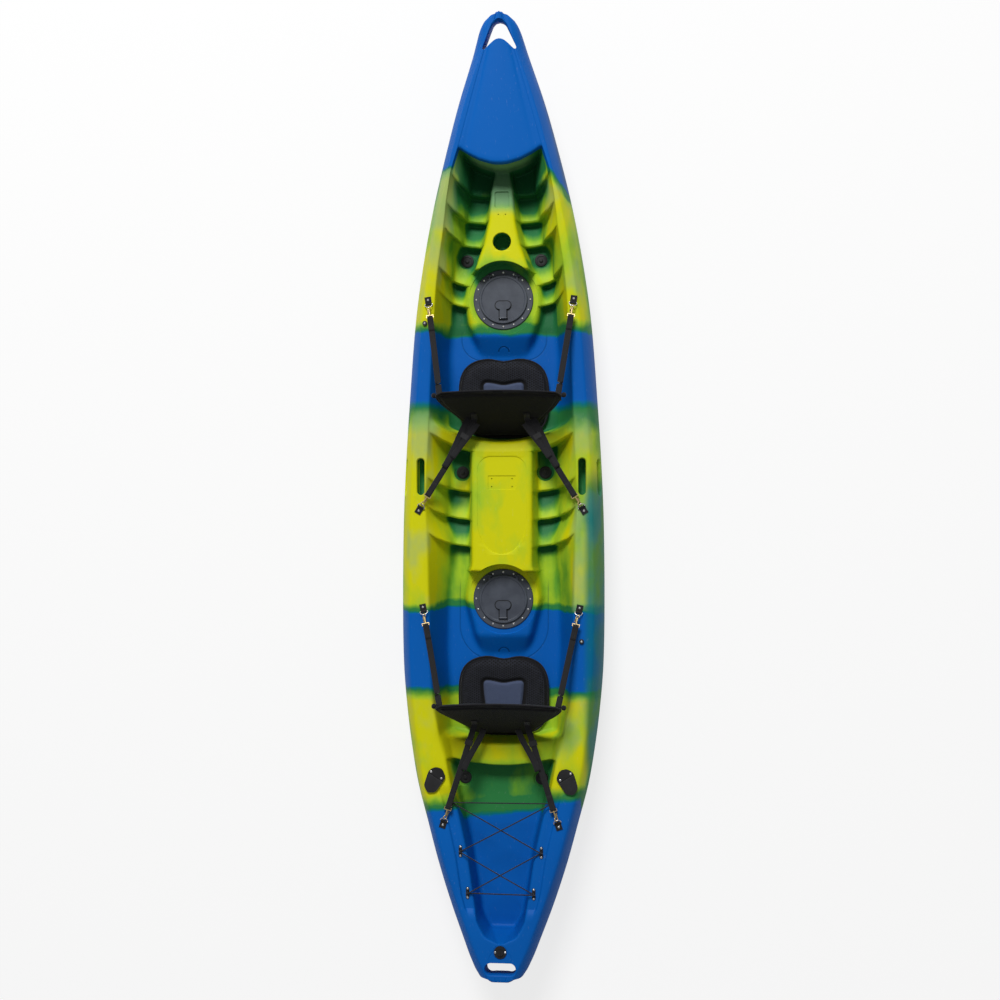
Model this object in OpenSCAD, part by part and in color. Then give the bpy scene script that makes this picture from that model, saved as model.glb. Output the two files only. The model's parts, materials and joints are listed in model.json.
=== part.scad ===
// Tandem sit-on-top kayak: a hollow moulded hull with its hatches, seats and deck fittings.
// Millimetres. +Y points to the bow, +X to starboard, +Z up. The origin is on the flat bottom.

/* [Hull] */
// Overall length from bow loop to stern
hull_length = 4000; // [3900:10:4200]
// Greatest beam
hull_beam = 862; // [840:2:900]
// Thickness of the moulded wall
hull_wall = 8; // [6:0.5:10]
// Height of the gunwale amidships
gunwale_h = 290; // [285:1:310]
// Extra height of the gunwale at the bow tip
bow_rise = 110; // [90:5:130]
// Extra height of the gunwale at the stern
stern_rise = 48; // [40:2:70]
// Width of the rounded shoulder outside the gunwale
shoulder_w = 48; // [40:1:54]

/* [Deck levels] */
// Height of the footwell floors
footwell_z = 104; // [100:1:110]
// Height of the seat floors
seat_z = 115; // [112:1:120]
// Height of the two centre consoles
console_z = 248; // [240:1:255]
// Height of the flat that each hatch ring sits on
hatch_z = 160; // [156:1:186]
// Height of the ridge behind each seat
ridge_z = 235; // [225:1:240]
// Height of the tank well floor
well_z = 152; // [145:1:160]
// Height of one foot brace step
step_h = 50; // [36:1:54]

/* [Places along the hull] */
// Aft lip of the foredeck
lip_y = 1390; // [1370:5:1410]
// Centre of the front hatch
front_hatch_y = 855; // [845:1:865]
// Centre of the rear hatch
rear_hatch_y = -422; // [-432:1:-412]
// Foot of the wall behind the front seat
front_back_y = 262; // [255:1:268]
// Foot of the wall behind the rear seat
rear_back_y = -1012; // [-1018:1:-1006]
// Front edge of the tank well
well_front_y = -1120; // [-1130:1:-1112]
// Aft end of the tank well
well_aft_y = -1842; // [-1850:1:-1834]

/* [Hatches] */
// Outer radius of each hatch ring
hatch_ring_r = 128; // [124:1:134]
// Radius of each hatch lid
hatch_lid_r = 103; // [101:1:104]
// Radius of the opening under each lid
hatch_hole_r = 98; // [96:1:99]
// Screws round each hatch ring
hatch_screw_count = 16; // [8:8:16]
// Width of the T-shaped latch bar
latch_bar_w = 63; // [50:1:80]

/* [Seats] */
// Width of each seat pad
pad_w = 383; // [340:1:390]
// Length of each seat pad
pad_l = 338; // [320:1:342]
// Thickness of each seat pad
pad_t = 38; // [32:1:44]
// Height of each backrest along its own slope
back_l = 343; // [320:1:360]
// Forward lean of the backrests
back_lean = 27; // [20:1:34]
// Width of the webbing straps
strap_w = 25; // [20:1:26]

/* [Fittings] */
// Radius of the scupper bores
scupper_r = 20; // [18:0.5:21]
// Bore radius of the rod holders
rod_bore_r = 20; // [18:0.5:21]
// Depth of the rod holders along their tubes
rod_depth = 200; // [160:5:210]
// Rake of the rod holders from upright
rod_rake = 27; // [20:1:30]
// Radius of the cup holder
cup_r = 38; // [34:1:40]
// Depth of the cup holder
cup_depth = 85; // [60:5:90]
// Radius of the bungee cord
bungee_r = 2.5; // [2:0.1:2.8]

/* [Hidden] */

// Gap left between a piece and the surface that carries it
seat_gap = 0.2;
// Running gap round a pin
pin_gap = 0.05;
$fn = 48;

// Rise of a steep moulded wall, measured along the hull
wall_run = 8;
// Longest gap between two hull stations
station_step = 60;
half_length = hull_length / 2;
half_beam = hull_beam / 2;

// Crests of the foot braces, aft to bow
rear_steps = [-200, -85, 35];
front_steps = [825, 915, 1080, 1185, 1300];

// Hermite slope of a table at row i, and the smooth curve through its rows
function slope_at(t, i) =
    let (a = max(i - 1, 0), b = min(i + 1, len(t) - 1))
    (t[b][1] - t[a][1]) / (t[b][0] - t[a][0]);
function row_below(t, v) = max([0, for (i = [0:len(t) - 2]) if (t[i][0] <= v) i]);
function curve(v, t) =
    let (i = row_below(t, v), h = t[i + 1][0] - t[i][0], u = (v - t[i][0]) / h,
         p = slope_at(t, i) * h, q = slope_at(t, i + 1) * h, d = t[i + 1][1] - t[i][1])
    t[i][1] + u * (p + u * (3 * d - 2 * p - q + u * (p + q - 2 * d)));

// Half-beam by station, as shares of half the length and half the beam
beam_table = [[-1, 0.14], [-0.993, 0.215], [-0.965, 0.295], [-0.925, 0.375], [-0.85, 0.51], [-0.765, 0.64],
    [-0.68, 0.748], [-0.6, 0.845], [-0.515, 0.912], [-0.43, 0.96], [-0.345, 0.99], [-0.215, 1],
    [-0.045, 0.992],
    [0.08, 0.968], [0.21, 0.93], [0.38, 0.868], [0.51, 0.782], [0.635, 0.668], [0.76, 0.52], [0.84, 0.41],
    [0.93, 0.26], [0.955, 0.22], [0.97, 0.192], [0.985, 0.148], [0.995, 0.09], [1, 0.045]];
function beam_at(y) = half_beam * curve(y / half_length, beam_table);

// Height of the gunwale line, as a share of the rise at each end
sheer_table = [[-1, 1], [-0.75, 0.5], [-0.5, 0.14], [-0.2, 0], [0.1, 0.02], [0.4, 0.15], [0.65, 0.45],
    [0.85, 0.78], [1, 1]];
function sheer_at(y) = gunwale_h + (y < 0 ? stern_rise : bow_rise) * curve(y / half_length, sheer_table);

// Height of the keel: flat amidships and rising to both ends
keel_table = [[-1, 215], [-0.97, 165], [-0.9, 85], [-0.8, 32], [-0.7, 8], [-0.62, 0], [-0.3, 0], [0.3, 0],
    [0.62, 0], [0.7, 10], [0.8, 50], [0.88, 120], [0.94, 220], [0.98, 315], [1, 352]];
function keel_at(y) = max(0, curve(y / half_length, keel_table));

// Inner edge of the gunwale: cockpit coaming, tank well rim and foredeck panel
coaming_table = [[-2000, 20], [-1900, 50], [-1860, 12], [-1842, 12], [-1817, 64], [-1757, 98], [-1660, 113],
    [-1480, 140], [-1328, 174], [-1196, 210], [-1080, 232], [-1000, 255], [-860, 284], [-640, 296],
    [-420, 302],
    [-133, 308], [-23, 315], [100, 311], [300, 302], [600, 290], [875, 271], [967, 261], [1141, 235],
    [1242, 224], [1362, 205], [1465, 172], [1755, 89], [1860, 58], [2000, 8]];
function coaming_at(y) = min(lookup(drawn_y(y), coaming_table), beam_at(y) - shoulder_at(y) - 6);
function shoulder_at(y) = min(shoulder_w, beam_at(y) * 0.42);

// A longer hull stretches the foredeck and the tank well: half the length that the tables are drawn for,
// the place on that drawing of a point on this hull, and the other way round
drawn_half_l = max([for (row = coaming_table) row[0]]);
well_stretch = (half_length + well_front_y) / (drawn_half_l + well_front_y);
bow_stretch = (half_length - lip_y) / (drawn_half_l - lip_y);
function drawn_y(y) =
    y < well_front_y ? well_front_y + (y - well_front_y) / well_stretch :
    y > lip_y ? lip_y + (y - lip_y) / bow_stretch : y;
function well_y(v) = well_front_y + (v - well_front_y) * well_stretch;
well_end_y = well_y(well_aft_y);

// Outer foot of the cockpit and tank well walls
floor_table = [[-2000, 14], [-1900, 40], [-1860, 8], [-1842, 8], [-1817, 40], [-1757, 76], [-1660, 92],
    [-1480, 119], [-1328, 152], [-1196, 188], [-1125, 205], [-1040, 215], [-1012, 225], [-640, 242],
    [-410, 236],
    [-200, 210], [-85, 236], [35, 222], [200, 215], [262, 225], [600, 235], [825, 214], [915, 220],
    [1029, 200],
    [1080, 170], [1185, 153], [1300, 136], [1390, 128], [1465, 118], [1755, 62], [1860, 40], [2000, 6]];
function floor_at(y) = min(lookup(drawn_y(y), floor_table), coaming_at(y) - 4);

// Foot of the console in the middle of each cockpit
console_table = [[-2000, 8], [-1860, 4], [-1842, 4], [-1750, 30], [-1120, 60], [-1012, 70], [-660, 100],
    [-600, 130], [-422, 176], [-300, 158], [-278, 150], [200, 150], [262, 70], [600, 100], [690, 140],
    [770, 168],
    [855, 176], [915, 174], [970, 136], [1085, 96], [1185, 76], [1300, 62], [1390, 42], [2000, 3]];
function console_at(y) = min(lookup(drawn_y(y), console_table), floor_at(y) - 2);

// How far the gunwale side of a station lies ahead of its middle, and how late across the deck it bends
skew_table = [[-2000, 0], [-1780, 0], [-1120, 36], [-700, 46], [-200, 68], [35, 66], [255, 90], [600, 60],
    [825, 66], [915, 66], [1080, 64], [1185, 58], [1300, 64], [1390, 74], [1700, 0], [2000, 0]];
function skew_at(y) = lookup(drawn_y(y), skew_table);
bend_table = [[-1120, 2], [-1000, 2], [-700, 5], [150, 5], [230, 2], [300, 2], [700, 6], [1300, 6],
    [1384, 2]];
function bend_at(y) = lookup(y, bend_table);

// Ledge for the deck eyes beside the tank well
ledge_h = 12;
ledge_w = 46;
ledge_from_y = well_y(-1800);
ledge_to_y = well_y(-1205);
function on_ledge(y) = y > ledge_from_y && y < ledge_to_y;
function ledge_at(y) = sheer_at(y) - (on_ledge(y) ? ledge_h : 0);

// Height of the deck down the middle of the hull and along the footwells
deck_crown = 12;
hatch_step = 6;
hatch_flat = 156;
hatch_recess_r = 150;
seat_slope = 20;
front_plateau_y = front_hatch_y - hatch_flat;
rear_plateau_y = rear_hatch_y - hatch_flat;
// Back edge of each seat pad, and the foot of the slope that climbs from its front to the hatch
pad_front_y = front_back_y + 6;
pad_rear_y = rear_back_y + 6;
tongue_gap = 7;
front_tongue_y = pad_front_y + pad_l + tongue_gap;
rear_tongue_y = pad_rear_y + pad_l + tongue_gap;
front_console_y = front_hatch_y + hatch_recess_r - 42;
rear_console_y = rear_hatch_y + hatch_recess_r - 38;
ridge_l = 38;
function decked(y) = y >= lip_y || y <= well_end_y;
middle_table = [
    [well_end_y + 3 * wall_run, well_z + 8], [well_front_y - wall_run, well_z], [well_front_y, ridge_z],
    [rear_back_y - seat_slope, ridge_z], [rear_back_y, seat_z], [rear_tongue_y, seat_z],
    [rear_plateau_y, hatch_z + hatch_step], [rear_console_y, hatch_z + hatch_step],
    [rear_console_y + wall_run, console_z], [front_back_y - seat_slope - ridge_l, console_z],
    [front_back_y - seat_slope, ridge_z], [front_back_y, seat_z], [front_tongue_y, seat_z],
    [front_plateau_y, hatch_z + hatch_step], [front_console_y, hatch_z + hatch_step],
    [front_console_y + wall_run, console_z], [lip_y - 90, console_z - 8],
    [lip_y - wall_run, console_z - 30]];
function steps_between(crests) =
    [for (c = crests) each [[c - wall_run, footwell_z], [c, footwell_z + step_h]]];
trough_table = concat(
    [[well_end_y + 3 * wall_run, well_z + 8], [well_front_y - wall_run, well_z], [well_front_y, ridge_z],
        [rear_back_y - seat_slope, ridge_z], [rear_back_y, seat_z], [rear_hatch_y, seat_z]],
    steps_between(rear_steps),
    [[front_back_y - seat_slope - ridge_l - wall_run, footwell_z],
        [front_back_y - seat_slope - ridge_l, ridge_z], [front_back_y - seat_slope, ridge_z],
        [front_back_y, seat_z], [front_hatch_y - 120, seat_z]],
    steps_between(front_steps),
    [[lip_y - wall_run, footwell_z + 12]]);
function middle_z(y) = decked(y) ? sheer_at(y) : lookup(y, middle_table);
function trough_z(y) = decked(y) ? sheer_at(y) : lookup(y, trough_table);
function crown_at(x, y) = y >= lip_y ? deck_crown * (1 - pow(min(1, x / coaming_at(y)), 2)) : 0;

// Stations: every break in the deck, with the long gaps between them divided
function sorted(v) = len(v) < 2 ? v :
    let (m = v[floor(len(v) / 2)])
    concat(sorted([for (e = v) if (e < m) e]), [for (e = v) if (e == m) e],
        sorted([for (e = v) if (e > m) e]));
function apart(v, gap) = [for (i = [0:len(v) - 1]) if (i == 0 || v[i] - v[i - 1] > gap) v[i]];
end_stations = [for (s = [-1, -0.993, -0.98, -0.965, -0.945, -0.93, 0.93, 0.955, 0.97, 0.985, 0.995, 1])
    s * half_length];
break_stations = concat(end_stations,
    [well_end_y, lip_y, ledge_from_y, ledge_from_y + 1, ledge_to_y - 1, ledge_to_y],
    [for (r = middle_table) r[0]], [for (r = trough_table) r[0]]);
key_stations = apart(sorted(break_stations), 0.5);
stations = concat(
    [for (i = [0:len(key_stations) - 2])
        let (gap = key_stations[i + 1] - key_stations[i], n = ceil(gap / station_step))
        each [for (k = [0:n - 1]) key_stations[i] + gap * k / n]],
    [half_length]);

// One half of a station, from the middle of the deck round the gunwale to the keel
// The foot braces run on up the cockpit walls as fins
fin_w = 26;
function fullness(y) = 1 - 0.45 * pow(abs(y) / half_length, 3);
function deck_point(s, x, z) =
    let (c = coaming_at(s + skew_at(s)))
    [x, s + skew_at(s) * pow(min(1, x / c), bend_at(s)), z + crown_at(x, s)];
function braced(s) = (s > rear_hatch_y && s < front_back_y - seat_slope - ridge_l - wall_run) ||
    (s > front_hatch_y && s < lip_y - wall_run);
function fin_at(s) = braced(s) ? fin_w * max(0, trough_z(s) - seat_z) / (footwell_z + step_h - seat_z) : 0;
function half_station(s) =
    let (y = s + skew_at(s), w = beam_at(y), top = sheer_at(y), edge = ledge_at(y), keel = keel_at(y),
         c = coaming_at(y), f = max(min(floor_at(s), c - 4), c * 0.6),
         h = max(min(console_at(s), f - 2), f * 0.2), mz = middle_z(s), tz = trough_z(s),
         ox = w - shoulder_at(y), side = min(24, h * 0.3), fin = fin_at(s),
         wx = f * 0.55 + c * 0.45 - fin, ux = f * 0.2 + c * 0.8 - 0.6 * fin,
         lw = on_ledge(y) ? min(ledge_w, (ox - c) * 0.6) : (ox - c) * 0.5,
         beam_z = keel + 0.52 * (top - keel), k = fullness(y))
    [deck_point(s, 0, mz), deck_point(s, (h - side) * 0.55, mz),
     deck_point(s, h - side, mz - (mz > tz ? 3 : 0)),
     deck_point(s, h, tz), deck_point(s, (h + f) / 2, tz), deck_point(s, f, tz),
     [wx, s + (y - s) * pow(wx / c, bend_at(s)), tz * 0.6 + edge * 0.4],
     [ux, s + (y - s) * pow(ux / c, bend_at(s)), tz * 0.25 + edge * 0.75],
     [c, y, edge - (decked(s) ? 2 : 7)], [c + (ox - c) * 0.1, y, edge],
     [c + lw, y, edge], [c + lw + (ox - c) * 0.06, y, top], [ox, y, top],
     [w - shoulder_at(y) * 0.3, y, top - 0.4 * (top - beam_z)], [w, y, beam_z],
     [w * (1 - 0.05 / k), y, keel + 0.24 * (top - keel)], [w * 0.84 * k, y, keel + 0.11 * (top - keel)],
     [w * 0.64 * k, y, keel], [w * 0.46 * k, y, keel], [w * 0.34 * k, y, keel + 9 * k],
     [w * 0.22 * k, y, keel], [0, y, keel]];
function mirrored(p) = [-p[0], p[1], p[2]];
function full_station(s) =
    let (h = half_station(s), n = len(h))
    concat(h, [for (i = [n - 2:-1:1]) mirrored(h[i])]);

// Closed skin over a list of rings that all have the same number of points
// Its ends are fans round a middle point, or strips across where the rings bend
function ring_middle(r) = (r[0] + r[floor(len(r) / 2)]) / 2;
function fan(n, middle) = [for (j = [0:n - 1]) [middle, j, (j + 1) % n]];
function strip(n) = [for (j = [0:n / 2 - 1])
    each concat(j < n / 2 - 1 ? [[j, j + 1, n - 1 - j]] : [], j > 0 ? [[j, n - 1 - j, n - j]] : [])];
module skin(rings, strips = false) {
    n = len(rings[0]);
    m = len(rings);
    middles = strips ? [] : [ring_middle(rings[0]), ring_middle(rings[m - 1])];
    points = concat([for (r = rings) each r], middles);
    sides = [for (i = [0:m - 2], j = [0:n - 1])
        let (a = i * n + j, b = i * n + (j + 1) % n)
        each [[a, b + n, b], [a, a + n, b + n]]];
    first = strips ? strip(n) : fan(n, m * n);
    last = [for (f = strips ? strip(n) : fan(n, n + 1)) [for (k = [2:-1:0]) f[k] + (m - 1) * n]];
    polyhedron(points, concat(sides, first, last));
}

// Hollow of the hull: rings that stay a wall inside the lowest deck and the narrowest hull nearby
cavity_step = 50;
cavity_reach = 80;
cavity_aft_y = -half_length + 310;
cavity_bow_y = half_length - 190;
cavity_count = round((cavity_bow_y - cavity_aft_y) / cavity_step);
function near(s) = [for (k = [-1:0.125:1]) s + k * cavity_reach];
function cavity_station(s) =
    let (ys = near(s), wall = hull_wall, w = min([for (y = ys) beam_at(y)]),
         keel = max([for (y = ys) keel_at(y)]),
         c = max([for (y = ys) coaming_at(y)]), h = min([for (y = ys) console_at(y)]),
         top = min([for (y = ys) ledge_at(y)]), mz = min([for (y = ys) middle_z(y)]) - hatch_step - wall,
         tz = min([for (y = ys) min(trough_z(y), middle_z(y))]) - wall,
         k = min(fullness(s - cavity_reach), fullness(s + cavity_reach)),
         ox = w - shoulder_w - wall, hollow = ox - c > 3 * wall,
         gx = hollow ? c + 1.5 * wall : min(c, w - 4 * wall),
         hx = max(4, min(h - 34, gx - 8)), low = keel + 9 + wall, side_z = keel + 0.5 * (top - keel),
         rim = (!hollow ? tz : handle_near(s) ? min(top, handle_z) - wall : top - wall) + 1)
    [[0, s, max(mz, tz)], [hx, s, max(mz, tz) - 1], [hx + 4, s, tz], [gx, s, tz], [gx + 2, s, rim],
     [hollow ? ox : gx + 4, s, rim - 1], [w - 1.3 * wall, s, min(side_z, rim - 8)],
     [w * 0.8 * k - wall, s, max(low, keel + 0.13 * (top - keel) + wall)],
     [w * 0.6 * k - wall, s, low], [0, s, low]];
function full_cavity(s) =
    let (h = cavity_station(s), n = len(h))
    concat(h, [for (i = [n - 2:-1:1]) mirrored(h[i])]);

// Carry handles moulded through the gunwales
handle_y = 97;
handle_x = 338;
handle_l = 152;
handle_slot = 30;
handle_z = 208;
handle_side_h = 40;
function handle_near(s) = abs(s - handle_y) < handle_l / 2 + cavity_reach;

// Scuppers: a tube through the hull at each place
scupper_tube_r = scupper_r + 10;
scupper_seat_r = scupper_r + 14;
scuppers = [[159, 1029], [178, 118], [164, well_y(-1188)]];

// Inset panel and bolt holes on the rear console, and the bolt holes on the front one
panel_w = 210;
panel_l = 415;
panel_aft_y = -230;
panel_t = 3;
plate_y = 73;
plate_w = 117;
plate_l = 59;
plate_hole_x = 86;
plate_hole_y = 33.5;
mount_y = 1203;
mount_hole_x = 30;
accessory_hole_r = 2.6;
recess_y = 1230;
recess_w = 60;
recess_l = 69;
recess_t = 12;
// Height of a cut that is open at the top, and depth of a screw hole
open_h = 60;
screw_depth = 20;

// Rounded slot cut, long along Y
module slot_y(length, width, height) {
    linear_extrude(height) {
        square([width, length - width], center = true);
        for (e = [-1, 1]) translate([0, e * (length - width) / 2]) circle(d = width, $fn = 48);
    }
}

cup_y = 1088;
function scupper_z(p) = trough_z(p[1]) - 5;

// The hollow, less the scupper tubes and the cup holder that stand in it
module hull_hollow() {
    difference() {
        skin([for (i = [0:cavity_count])
            full_cavity(cavity_aft_y + (cavity_bow_y - cavity_aft_y) * i / cavity_count)]);
        for (p = scuppers, e = [-1, 1])
            translate([e * p[0], p[1], 0]) cylinder(r = scupper_tube_r, h = 300, $fn = 48);
        translate([0, cup_y, console_z - cup_depth - 8]) cylinder(r = cup_r + 8, h = 200, $fn = 64);
    }
}

module bow_loop_cut() {
    tip = half_length;
    right = [[0, tip - 36], [16, tip - 40], [27, tip - 50], [70, tip - 140], [70, tip - 148],
        [62, tip - 150], [36, tip - 124], [18, tip - 109], [0, tip - 104]];
    translate([0, 0, 100]) linear_extrude(500)
        polygon(concat(right, [for (i = [len(right) - 2:-1:1]) [-right[i][0], right[i][1]]]));
}

// Recesses and holes for the accessories that bolt to the two consoles
module console_cuts() {
    translate([-panel_w / 2, panel_aft_y, console_z - panel_t]) cube([panel_w, panel_l, open_h]);
    translate([0, plate_y, console_z - 2 * panel_t]) {
        translate([-plate_w / 2, -plate_l / 2, 0]) cube([plate_w, plate_l, open_h]);
        for (a = [-1, 1], b = [-1, 1]) translate([a * plate_hole_x / 2, b * plate_hole_y / 2, -screw_depth])
            cylinder(r = accessory_hole_r, h = open_h, $fn = 32);
    }
    translate([-recess_w / 2, recess_y, console_z - recess_t]) cube([recess_w, recess_l, open_h]);
    for (a = [-1, 1]) translate([a * mount_hole_x / 2, mount_y, console_z - screw_depth - recess_t])
        cylinder(r = accessory_hole_r, h = open_h, $fn = 32);
}

module hull_shell() {
    color("royalblue") difference() {
        skin([for (s = stations) full_station(s)]);
        hull_hollow();
        for (y = [front_hatch_y, rear_hatch_y]) {
            translate([0, y, hatch_z]) cylinder(r = hatch_recess_r, h = 2 * open_h, $fn = 96);
            translate([0, y, hatch_z - 60]) cylinder(r = hatch_hole_r, h = 70, $fn = 96);
        }
        for (p = scuppers, e = [-1, 1]) {
            translate([e * p[0], p[1], -5]) cylinder(r = scupper_r, h = 300, $fn = 48);
            translate([e * p[0], p[1], scupper_z(p)]) cylinder(r = scupper_seat_r, h = 60, $fn = 48);
        }
        translate([0, cup_y, console_z - cup_depth]) cylinder(r = cup_r, h = cup_depth + 40, $fn = 64);
        bow_loop_cut();
        translate([0, -half_length + 55, 0]) rotate(90) slot_y(128, 48, 500);
        for (e = [-1, 1]) {
            translate([e * handle_x, handle_y, handle_z]) slot_y(handle_l, handle_slot, 200);
            translate([e * handle_x, handle_y, handle_z + handle_side_h / 2]) rotate([0, e * 90, 0])
                slot_y(handle_l, handle_side_h, 120);
            at_rod_holder(e) rod_tube(rod_bore_r + rod_wall + 1.5, -rod_depth - 8, 40);
        }
        console_cuts();
        on_deck(0, drain_y, drain_recess) {
            cylinder(r = drain_base_r + 4, h = 40);
            translate([0, 0, -60]) cylinder(r = drain_boss_r + 1, h = 80);
        }
    }
}

// Put children on the gunwale at a place, pitched with its sheer
function pitch_at(y) = atan((sheer_at(y + 5) - sheer_at(y - 5)) / 10);
module on_deck(x, y, drop = 0) {
    translate([x, y, sheer_at(y) - drop + seat_gap]) rotate([pitch_at(y), 0, 0]) children();
}

// Pan-head screw with the underside of its head at z = 0
module pan_screw(head_r, head_h, shank_r, shank_l) {
    rotate_extrude($fn = 32) polygon([[0, -shank_l], [shank_r, 3 - shank_l], [shank_r, 0], [head_r, 0],
        [head_r, head_h * 0.5], [head_r * 0.6, head_h], [0, head_h]]);
}

// Clearance hole for a deck screw
deck_screw_r = 2.2;
deck_screw_l = 12;
module screw_hole() {
    translate([0, 0, -5]) cylinder(r = deck_screw_r + 0.3, h = 40, $fn = 24);
}

// Outline with each corner eased by a curve that starts a given distance from it
function toward(p, q, d) = p + (q - p) * d / norm(q - p);
function eased(points, d, n = 6) = let (m = len(points)) [for (i = [0:m - 1], k = [0:n])
    let (p = points[i], a = toward(p, points[(i + m - 1) % m], d),
         b = toward(p, points[(i + 1) % m], d), u = k / n)
    a * (1 - u) * (1 - u) + p * 2 * u * (1 - u) + b * u * u];

// Hatches: heights are measured from the flat that the ring sits on
hatch_ring_t = 6;
hatch_seal_t = 2.5;
hatch_seal_w = 5;
hatch_screw_circle_r = hatch_ring_r - 12.5;
hatch_screw_r = 1.9;
hatch_collar_h = 28;
hatch_inner_r = hatch_hole_r - 6;
hatch_lid_z = hatch_ring_t + hatch_seal_t + seat_gap;
hatch_panel_z = hatch_lid_z + 4;
hatch_rim_z = hatch_lid_z + 6;
hinge_y = hatch_lid_r - 3;
hinge_z = hatch_lid_z + 5;
hinge_x = 58.5;
hinge_r = 5.5;
hinge_pin_r = 2.4;
hinge_gap = 0.5;
knuckle_l = 8;
ear_t = 4.5;
latch_y = -80;
latch_z = hatch_panel_z + 6;
latch_r = 5;
latch_pin_r = 2;
latch_half_w = 14;
latch_t = 5;
latch_ear_t = 4;
latch_stem_l = 42;
latch_bar_l = 32;
latch_ear_x = latch_half_w + hinge_gap;
latch_foot_z = hatch_lid_z - 6;

module at_hatch(y) {
    translate([0, y, hatch_z + seat_gap]) children();
}
module x_rod(x, y, z, r, l) {
    translate([x - l / 2, y, z]) rotate([0, 90, 0]) cylinder(r = r, h = l);
}
module hatch_screw_places() {
    for (i = [0:hatch_screw_count - 1]) rotate(90 + i * 360 / hatch_screw_count)
        translate([hatch_screw_circle_r, 0, hatch_ring_t]) children();
}
module hatch_ring(y) {
    color("dimgray") at_hatch(y) difference() {
        union() {
            rotate_extrude($fn = 96) polygon([[hatch_inner_r, -hatch_collar_h],
                [hatch_hole_r - 1, -hatch_collar_h], [hatch_hole_r - 1, 0], [hatch_ring_r, 0],
                [hatch_ring_r, hatch_ring_t - 3],
                [hatch_ring_r - 3, hatch_ring_t], [hatch_inner_r, hatch_ring_t]]);
            for (e = [-1, 1], s = [-1, 1]) {
                ear_x = e * hinge_x + s * (knuckle_l / 2 + hinge_gap + ear_t / 2);
                x_rod(ear_x, hinge_y, hinge_z, hinge_r, ear_t);
                translate([ear_x - ear_t / 2, hinge_y - hinge_r, hatch_ring_t / 2])
                    cube([ear_t, 2 * hinge_r, hinge_z - hatch_ring_t / 2]);
            }
        }
        hatch_screw_places() translate([0, 0, -20]) cylinder(r = hatch_screw_r + 0.3, h = 40, $fn = 24);
        x_rod(0, hinge_y, hinge_z, hinge_pin_r + pin_gap, 200);
    }
}
module hatch_seal(y) {
    color("black") at_hatch(y) translate([0, 0, hatch_ring_t]) rotate_extrude($fn = 96)
        translate([hatch_hole_r - hatch_seal_w, 0]) square([hatch_seal_w, hatch_seal_t]);
}
module hatch_lid(y) {
    color("slategray") at_hatch(y) difference() {
        union() {
            rotate_extrude($fn = 96) polygon([[0, hatch_lid_z], [hatch_lid_r - 1, hatch_lid_z],
                [hatch_lid_r, hatch_lid_z + 1], [hatch_lid_r, hatch_rim_z - 2],
                [hatch_lid_r - 2, hatch_rim_z], [hatch_lid_r - 9, hatch_rim_z],
                [hatch_lid_r - 12, hatch_panel_z], [0, hatch_panel_z]]);
            for (e = [-1, 1]) {
                x_rod(e * hinge_x, hinge_y, hinge_z, hinge_r, knuckle_l);
                translate([e * hinge_x - knuckle_l / 2, hinge_y - 22, hatch_lid_z])
                    cube([knuckle_l, 22, hatch_rim_z - hatch_lid_z]);
                x_rod(e * (latch_ear_x + latch_ear_t / 2), latch_y, latch_z, latch_r, latch_ear_t);
                translate([e * (latch_ear_x + latch_ear_t / 2) - latch_ear_t / 2, latch_y - latch_r,
                    hatch_panel_z - 1]) cube([latch_ear_t, 2 * latch_r, latch_z - hatch_panel_z + 1]);
            }
        }
        x_rod(0, hinge_y, hinge_z, hinge_pin_r + pin_gap, 200);
        x_rod(0, latch_y, latch_z, latch_pin_r + pin_gap, 80);
        translate([-7, latch_y - 6, hatch_lid_z - 5]) cube([14, 28, 30]);
    }
}
module hinge_pins(y) {
    color("silver") at_hatch(y) for (e = [-1, 1])
        x_rod(e * hinge_x, hinge_y, hinge_z, hinge_pin_r, knuckle_l + 2 * (hinge_gap + ear_t));
}
module latch(y) {
    color("darkslategray") at_hatch(y) difference() {
        union() {
            x_rod(0, latch_y, latch_z, latch_r - 0.4, 2 * latch_half_w);
            translate([-latch_half_w, latch_y, latch_z - latch_t / 2])
                cube([2 * latch_half_w, latch_stem_l, latch_t]);
            translate([0, latch_y + latch_stem_l + latch_bar_l / 2 - 4, latch_z - latch_t / 2])
                rotate(90) slot_y(latch_bar_w, latch_bar_l, latch_t);
            translate([-5, latch_y - 3, latch_foot_z]) cube([10, 6, latch_z - latch_foot_z]);
            translate([-5, latch_y - 8, latch_foot_z]) cube([10, 8, 4]);
        }
        x_rod(0, latch_y, latch_z, latch_pin_r + pin_gap, 80);
    }
}
module latch_pin(y) {
    color("silver") at_hatch(y) x_rod(0, latch_y, latch_z, latch_pin_r, 2 * (latch_ear_x + latch_ear_t));
}
module hatch_screws(y) {
    color("gainsboro") at_hatch(y) hatch_screw_places() translate([0, 0, seat_gap])
        pan_screw(4.2, 2.4, hatch_screw_r, 15);
}
module front_hatch_ring() { hatch_ring(front_hatch_y); }
module front_hatch_seal() { hatch_seal(front_hatch_y); }
module front_hatch_lid() { hatch_lid(front_hatch_y); }
module front_hinge_pins() { hinge_pins(front_hatch_y); }
module front_latch() { latch(front_hatch_y); }
module front_latch_pin() { latch_pin(front_hatch_y); }
module front_hatch_screws() { hatch_screws(front_hatch_y); }
module rear_hatch_ring() { hatch_ring(rear_hatch_y); }
module rear_hatch_seal() { hatch_seal(rear_hatch_y); }
module rear_hatch_lid() { hatch_lid(rear_hatch_y); }
module rear_hinge_pins() { hinge_pins(rear_hatch_y); }
module rear_latch() { latch(rear_hatch_y); }
module rear_latch_pin() { latch_pin(rear_hatch_y); }
module rear_hatch_screws() { hatch_screws(rear_hatch_y); }

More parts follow.
